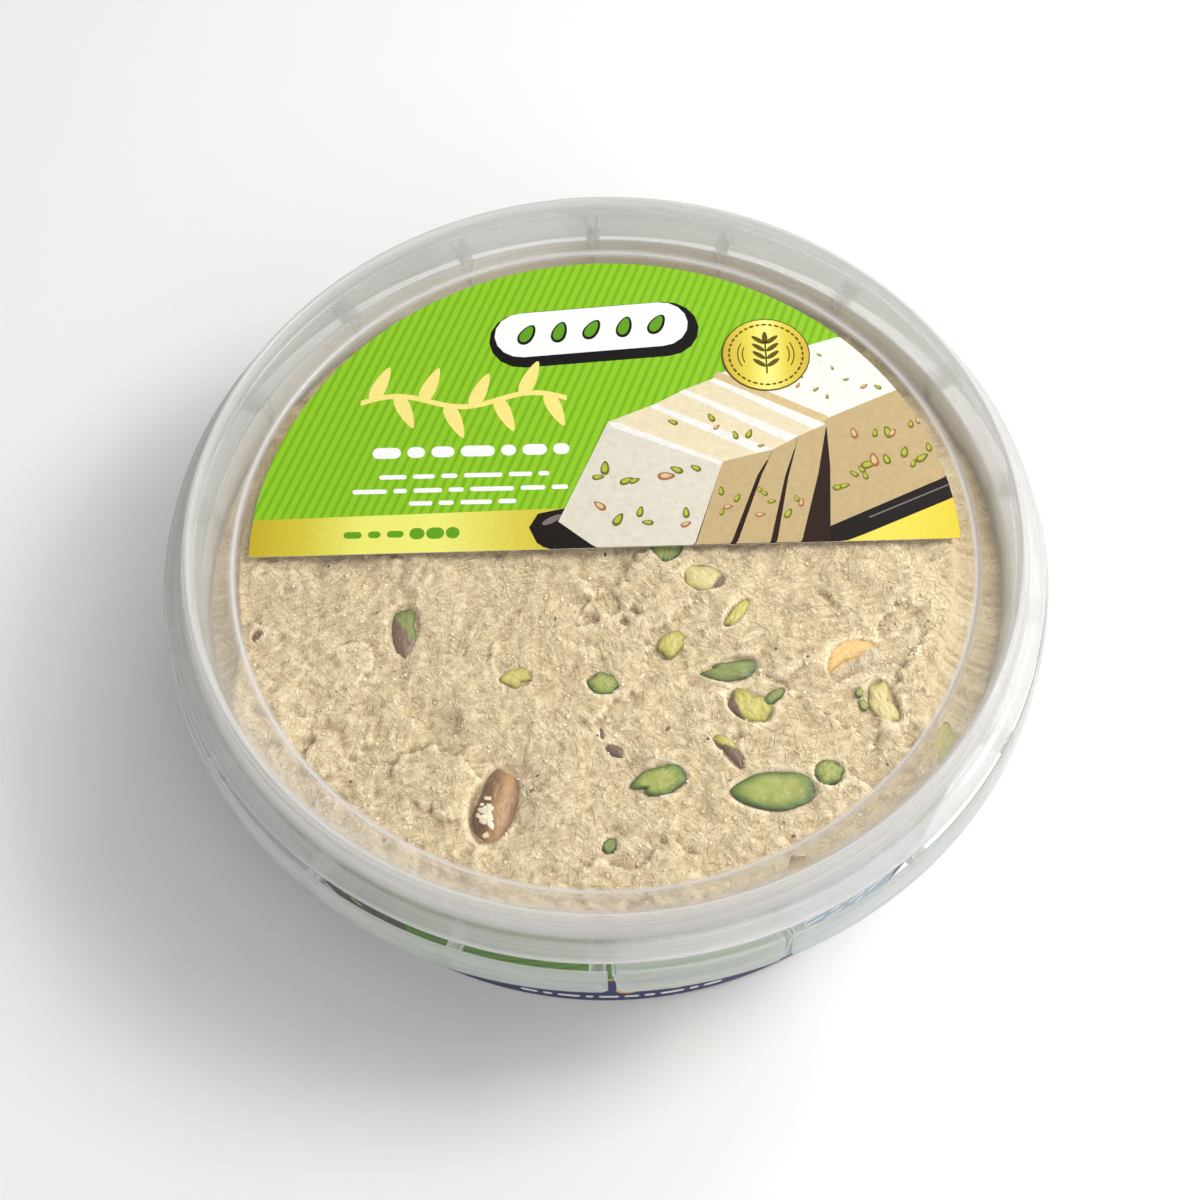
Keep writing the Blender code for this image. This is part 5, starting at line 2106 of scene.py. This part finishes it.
    def scatter(self, count: int, seed: int) -> Array:
        """Random places on the halva's top that the label doesn't hide, as x and y.

        Args:
            count: how many at most.
            seed: for the places.

        Returns:
            The places.
        """
        chance = np.random.default_rng(seed)
        angle = chance.random(count * 3) * math.tau
        reach = np.sqrt(chance.random(count * 3)) * (self.edge_radius(angle) - 0.8 * MM)
        spots = np.stack([reach * np.cos(angle), reach * np.sin(angle)], -1)
        before = spots[:, 1] < self.sizes.label_chord + 1.5 * MM
        beyond = reach > self.sizes.label_radius - 1.5 * MM
        return spots[(before | beyond) & ~self.on_nut(spots)][:count]

    def on_nut(self, spots: Array) -> Array:
        """True for places that a nut covers, other than the one that the halva partly covers itself.

        Args:
            spots: places as x and y.

        Returns:
            True or False for each.
        """
        hit = np.zeros(len(spots), bool)
        for nut in NUTS:
            if nut.name != "pistachio_golden":
                hit |= nut.away(spots[:, 0], spots[:, 1]) < 1.0
        return hit

    def threads(
        self, name: str, spots: Array, lengths: tuple[float, float], radius: float, seed: int
    ) -> Mesh:
        """Loose threads: three-sided tubes of four stations along an arc. Its turn follows a broad noise,
        so threads lie in swirls, and its curve and length are random.

        Each station lies at the halva's height under it plus a small lift, and the tube thins to both ends.

        Args:
            name: the mesh's name.
            spots: the threads' middles.
            lengths: shortest and longest.
            radius: in millimetres.
            seed: for their shapes.

        Returns:
            The mesh.
        """
        number = len(spots)
        chance = np.random.default_rng(seed + 50)
        swirl = Noise(SEED + 26)(spots[:, 0] / (11.0 * MM) + 32.0, spots[:, 1] / (11.0 * MM) + 32.0)
        turn = 0.4 + 2.6 * math.pi * (swirl - 0.5) + chance.normal(0.0, 0.9, number)
        length = (lengths[0] + (lengths[1] - lengths[0]) * chance.random(number) ** 2) * MM
        curve = chance.normal(0.0, 0.9, number)
        t = np.linspace(-0.5, 0.5, 4)[None, :]
        heading = turn[:, None] + curve[:, None] * t
        x = spots[:, :1] + length[:, None] * t * np.cos(heading)
        y = spots[:, 1:] + length[:, None] * t * np.sin(heading)
        thick = radius * MM * (0.7 + 0.6 * chance.random(number))[:, None] * (1.0 - 1.3 * np.abs(t) ** 1.5)
        raised = chance.random(number)[:, None] ** 3 * 0.22 * MM
        ceiling = self.sizes.panel_top - self.sizes.lid_wall - 0.1 * MM
        z = np.minimum(self.height(x, y) + 0.5 * thick + raised * (1.0 - 2.0 * np.abs(t)), ceiling)
        around = np.array([math.pi / 2, math.pi * 7 / 6, -math.pi / 6])[None, None, :]
        side = thick[..., None] * np.cos(around)
        up = thick[..., None] * np.sin(around)
        px = x[..., None] - side * np.sin(heading)[..., None]
        py = y[..., None] + side * np.cos(heading)[..., None]
        pz = z[..., None] + up
        points = np.stack([px, py, pz], -1)
        one = grid_faces(4, 3, wrap_cols=True)[:, ::-1]
        caps = np.array([[0, 1, 2], [11, 10, 9]])
        first = np.arange(number)[:, None, None] * 12
        mesh = new_mesh(
            name, points.reshape(-1, 3), [(one + first).reshape(-1, 4), (caps + first).reshape(-1, 3)]
        )
        tone = np.repeat(chance.random(number) * 0.9 + 0.05, 12)
        set_number(mesh, "tone", tone)
        return mesh

    def lumps(
        self,
        name: str,
        spots: Array,
        sizes: tuple[float, float],
        seed: int,
        squat: float = 0.75,
        lift: float = 0.0,
    ) -> Mesh:
        """Small uneven lumps, each a four by six grid ball pulled about by random amounts and half sunk
        in the top, or held above it by lift.

        Args:
            name: the mesh's name.
            spots: the lumps' middles.
            sizes: smallest and largest.
            seed: for their shapes.
            squat: height over width.
            lift: how far they are held up.

        Returns:
            The mesh.
        """
        chance = np.random.default_rng(seed)
        number = len(spots)
        a = np.linspace(0.0, math.tau, 6, endpoint=False)[:, None]
        v = math.pi * np.linspace(0.0, 1.0, 6)[None, 1:-1]
        ball = np.stack([np.sin(v) * np.cos(a), np.sin(v) * np.sin(a), np.cos(v) + 0.0 * a], -1)
        points, faces = capped_rings(ball, np.array([(0, 0, 1.0), (0, 0, -1.0)]))
        count = len(points)
        pull = 1.0 + 0.28 * chance.normal(0.0, 1.0, (number, count, 1)).clip(-1.6, 1.6)
        size = (sizes[0] + (sizes[1] - sizes[0]) * chance.random((number, 1, 1)) ** 1.5) * MM
        wide = 1.0 + 0.7 * chance.random((number, 1, 1))
        plain = np.ones_like(wide)
        stretch = np.concatenate([wide, plain, squat * plain], 2)
        shaped = points[None] * pull * size * stretch
        turn = chance.random(number) * math.tau
        c, s = np.cos(turn)[:, None], np.sin(turn)[:, None]
        x = shaped[..., 0] * c - shaped[..., 1] * s + spots[:, :1]
        y = shaped[..., 0] * s + shaped[..., 1] * c + spots[:, 1:]
        ground = self.height(spots[:, 0], spots[:, 1])[:, None]
        ceiling = self.sizes.panel_top - self.sizes.lid_wall - 0.05 * MM
        z = np.minimum(shaped[..., 2] + ground + lift + 0.15 * size[..., 0], ceiling)
        first = np.arange(number)[:, None, None] * count
        blocks = [(block[None] + first).reshape(-1, block.shape[1]) for block in faces]
        mesh = new_mesh(name, np.stack([x, y, z], -1).reshape(-1, 3), blocks)
        set_number(mesh, "tone", np.repeat(chance.random(number), count))
        return mesh

    def fleck_spots(self) -> Array:
        """Places of dark husk flecks: a few that stand out and a fine scatter over the whole top.

        Returns:
            The places.
        """
        chosen = np.array(
            [
                (-48.5, -10.6), (-1.6, -29.4), (0.6, -31.6), (1.2, -31.9), (35.8, -31.6), (37.4, -34.6),
                (40.4, -13.0), (-9.8, -34.9),
            ]
        )
        return np.concatenate([chosen * MM, self.scatter(26, SEED + 9)])

    def flake_spots(self) -> Array:
        """Places of the halva flakes that stick to the whole nut, near its lower left end.

        Returns:
            The places.
        """
        chance = np.random.default_rng(SEED + 12)
        low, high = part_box("pistachio_whole_skin")
        middle = 0.5 * (np.array(low) + np.array(high))[:2]
        scattered = chance.normal(0.0, 1.0, (30, 2)) * np.array((0.4, 0.95)) * MM
        return middle + np.array((-1.3, -2.2)) * MM + scattered

    def tuft_spots(self) -> Array:
        """Places of the light tuft that lies against the golden piece's lower right side.

        Returns:
            The places.
        """
        chance = np.random.default_rng(SEED + 14)
        low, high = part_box("pistachio_golden")
        middle = np.array((high[0] - 1.8 * MM, low[1] + 2.4 * MM))
        return middle + chance.normal(0.0, 1.0, (420, 2)) * np.array((1.3, 0.9)) * MM


@dataclass
class Studio:
    """A pale floor, soft lights and the camera."""

    sizes: Sizes
    distance: float = 4.813
    elevation: float = 58.742
    yaw: float = 0.157
    pitch: float = -1.453
    roll: float = 1.555
    lens: float = 64.47

    def build(self) -> None:
        """Builds the floor, the lights and the camera."""
        self.floor()
        self.world()
        self.softbox("key_light", (0.27, 0.03, 0.34), 0.15, 1.12, (1.0, 0.985, 0.96))
        self.softbox("fill_light", (0.24, -0.53, 0.47), 0.34, 0.74, (0.97, 0.985, 1.0))
        self.softbox("back_light", (0.34, 0.55, 0.55), 0.36, 1.2, (1.0, 1.0, 1.0))
        self.camera()

    def floor(self) -> None:
        """A plain pale floor with a faint unevenness."""
        side = 3.0
        corners = np.array([(-side, -side, 0.0), (side, -side, 0.0), (side, side, 0.0), (-side, side, 0.0)])
        mesh = new_mesh("studio_floor", corners, [np.array([[0, 1, 2, 3]])])
        made, tree, shader = fresh_material("floor_pale")
        grain = tree.grain(tree.place(), 30.0, 0.5)
        values = {"Base Color": tree.mix(grain, (0.90, 0.90, 0.90), (0.93, 0.93, 0.93)), "Roughness": 0.85}
        tree.join(shader, values)
        mesh.materials.append(made)
        floor = bpy.data.objects.new("studio_floor", mesh)
        bpy.context.scene.collection.objects.link(floor)
        floor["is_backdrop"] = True

    def world(self) -> None:
        """Pale light from all round, a little stronger from the right and above."""
        world = bpy.data.worlds.new("studio_world")
        world.use_nodes = True
        tree = Tree(world.node_tree)
        way = tree.node("ShaderNodeTexCoord").outputs["Generated"]
        toward = tree.node("ShaderNodeVectorMath", {0: way, 1: (0.7, -0.25, 0.5)}, operation="DOT_PRODUCT")
        strength = tree.spread(toward.outputs["Value"], -0.7, 0.8, 0.07, 0.74)
        background = world.node_tree.nodes["Background"]
        background.inputs["Color"].default_value = (0.985, 0.99, 1.0, 1.0)
        tree.tree.links.new(strength, background.inputs["Strength"])
        bpy.context.scene.world = world
        bpy.context.scene.view_settings.view_transform = "Standard"

    def softbox(
        self, name: str, place: tuple[float, float, float], side: float, power: float, tint: Colour
    ) -> None:
        """A square area light that faces the lid's middle.

        Args:
            name: its name.
            place: where it hangs.
            side: its size.
            power: in watts.
            tint: its colour.
        """
        light = bpy.data.lights.new(name, "AREA")
        light.shape = "SQUARE"
        light.size = side
        light.energy = power
        light.color = tint
        lamp = bpy.data.objects.new(name, light)
        bpy.context.scene.collection.objects.link(lamp)
        aim = Vector((0.0, 0.0, self.sizes.panel_top)) - Vector(place)
        lamp.matrix_world = Matrix.Translation(place) @ aim.to_track_quat("-Z", "Y").to_matrix().to_4x4()

    def camera(self) -> None:
        """The camera: it looks at the panel's middle from the front, then turns by its yaw, pitch and
        roll."""
        reach = self.distance * self.sizes.collar_radius
        rise = math.radians(self.elevation)
        away = Vector((0.0, -reach * math.cos(rise), reach * math.sin(rise)))
        forward = -away.normalized()
        right = Vector((1.0, 0.0, 0.0))
        up = right.cross(forward)
        yaw = Matrix.Rotation(math.radians(self.yaw), 3, up)
        swing = yaw @ Matrix.Rotation(math.radians(self.pitch), 3, right)
        forward, right, up = swing @ forward, swing @ right, swing @ up
        tilt = Matrix.Rotation(math.radians(self.roll), 3, forward)
        right, up = tilt @ right, tilt @ up
        data = bpy.data.cameras.new("camera")
        data.lens = self.lens
        data.sensor_width = 36.0
        data.clip_start = 0.01
        camera = bpy.data.objects.new("camera", data)
        bpy.context.scene.collection.objects.link(camera)
        turn = Matrix((right, up, -forward)).transposed().to_4x4()
        camera.matrix_world = Matrix.Translation(away + Vector((0.0, 0.0, self.sizes.panel_top))) @ turn
        bpy.context.scene.camera = camera


def plain(bounds: object) -> list[list[float]]:
    """Bounds as plain lists of numbers."""
    return [[float(v) for v in corner] for corner in bounds]


def main() -> None:
    """Builds the tub of halva and its studio, and notes the sizes before and after."""
    logging.basicConfig(level=logging.INFO, format="%(message)s")
    sizes = Sizes()
    Studio(sizes).build()
    Tub(sizes).build()
    Lid(sizes).build()
    LidLabel(sizes).build()
    Sleeve(sizes).build()
    Halva(sizes).build()
    Pistachios().build()
    measured = {"cad": plain(CAD_BOUNDS), "visual": plain(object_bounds())}
    LOG.info("sizes: %s", measured)


if __name__ == "__main__":
    main()
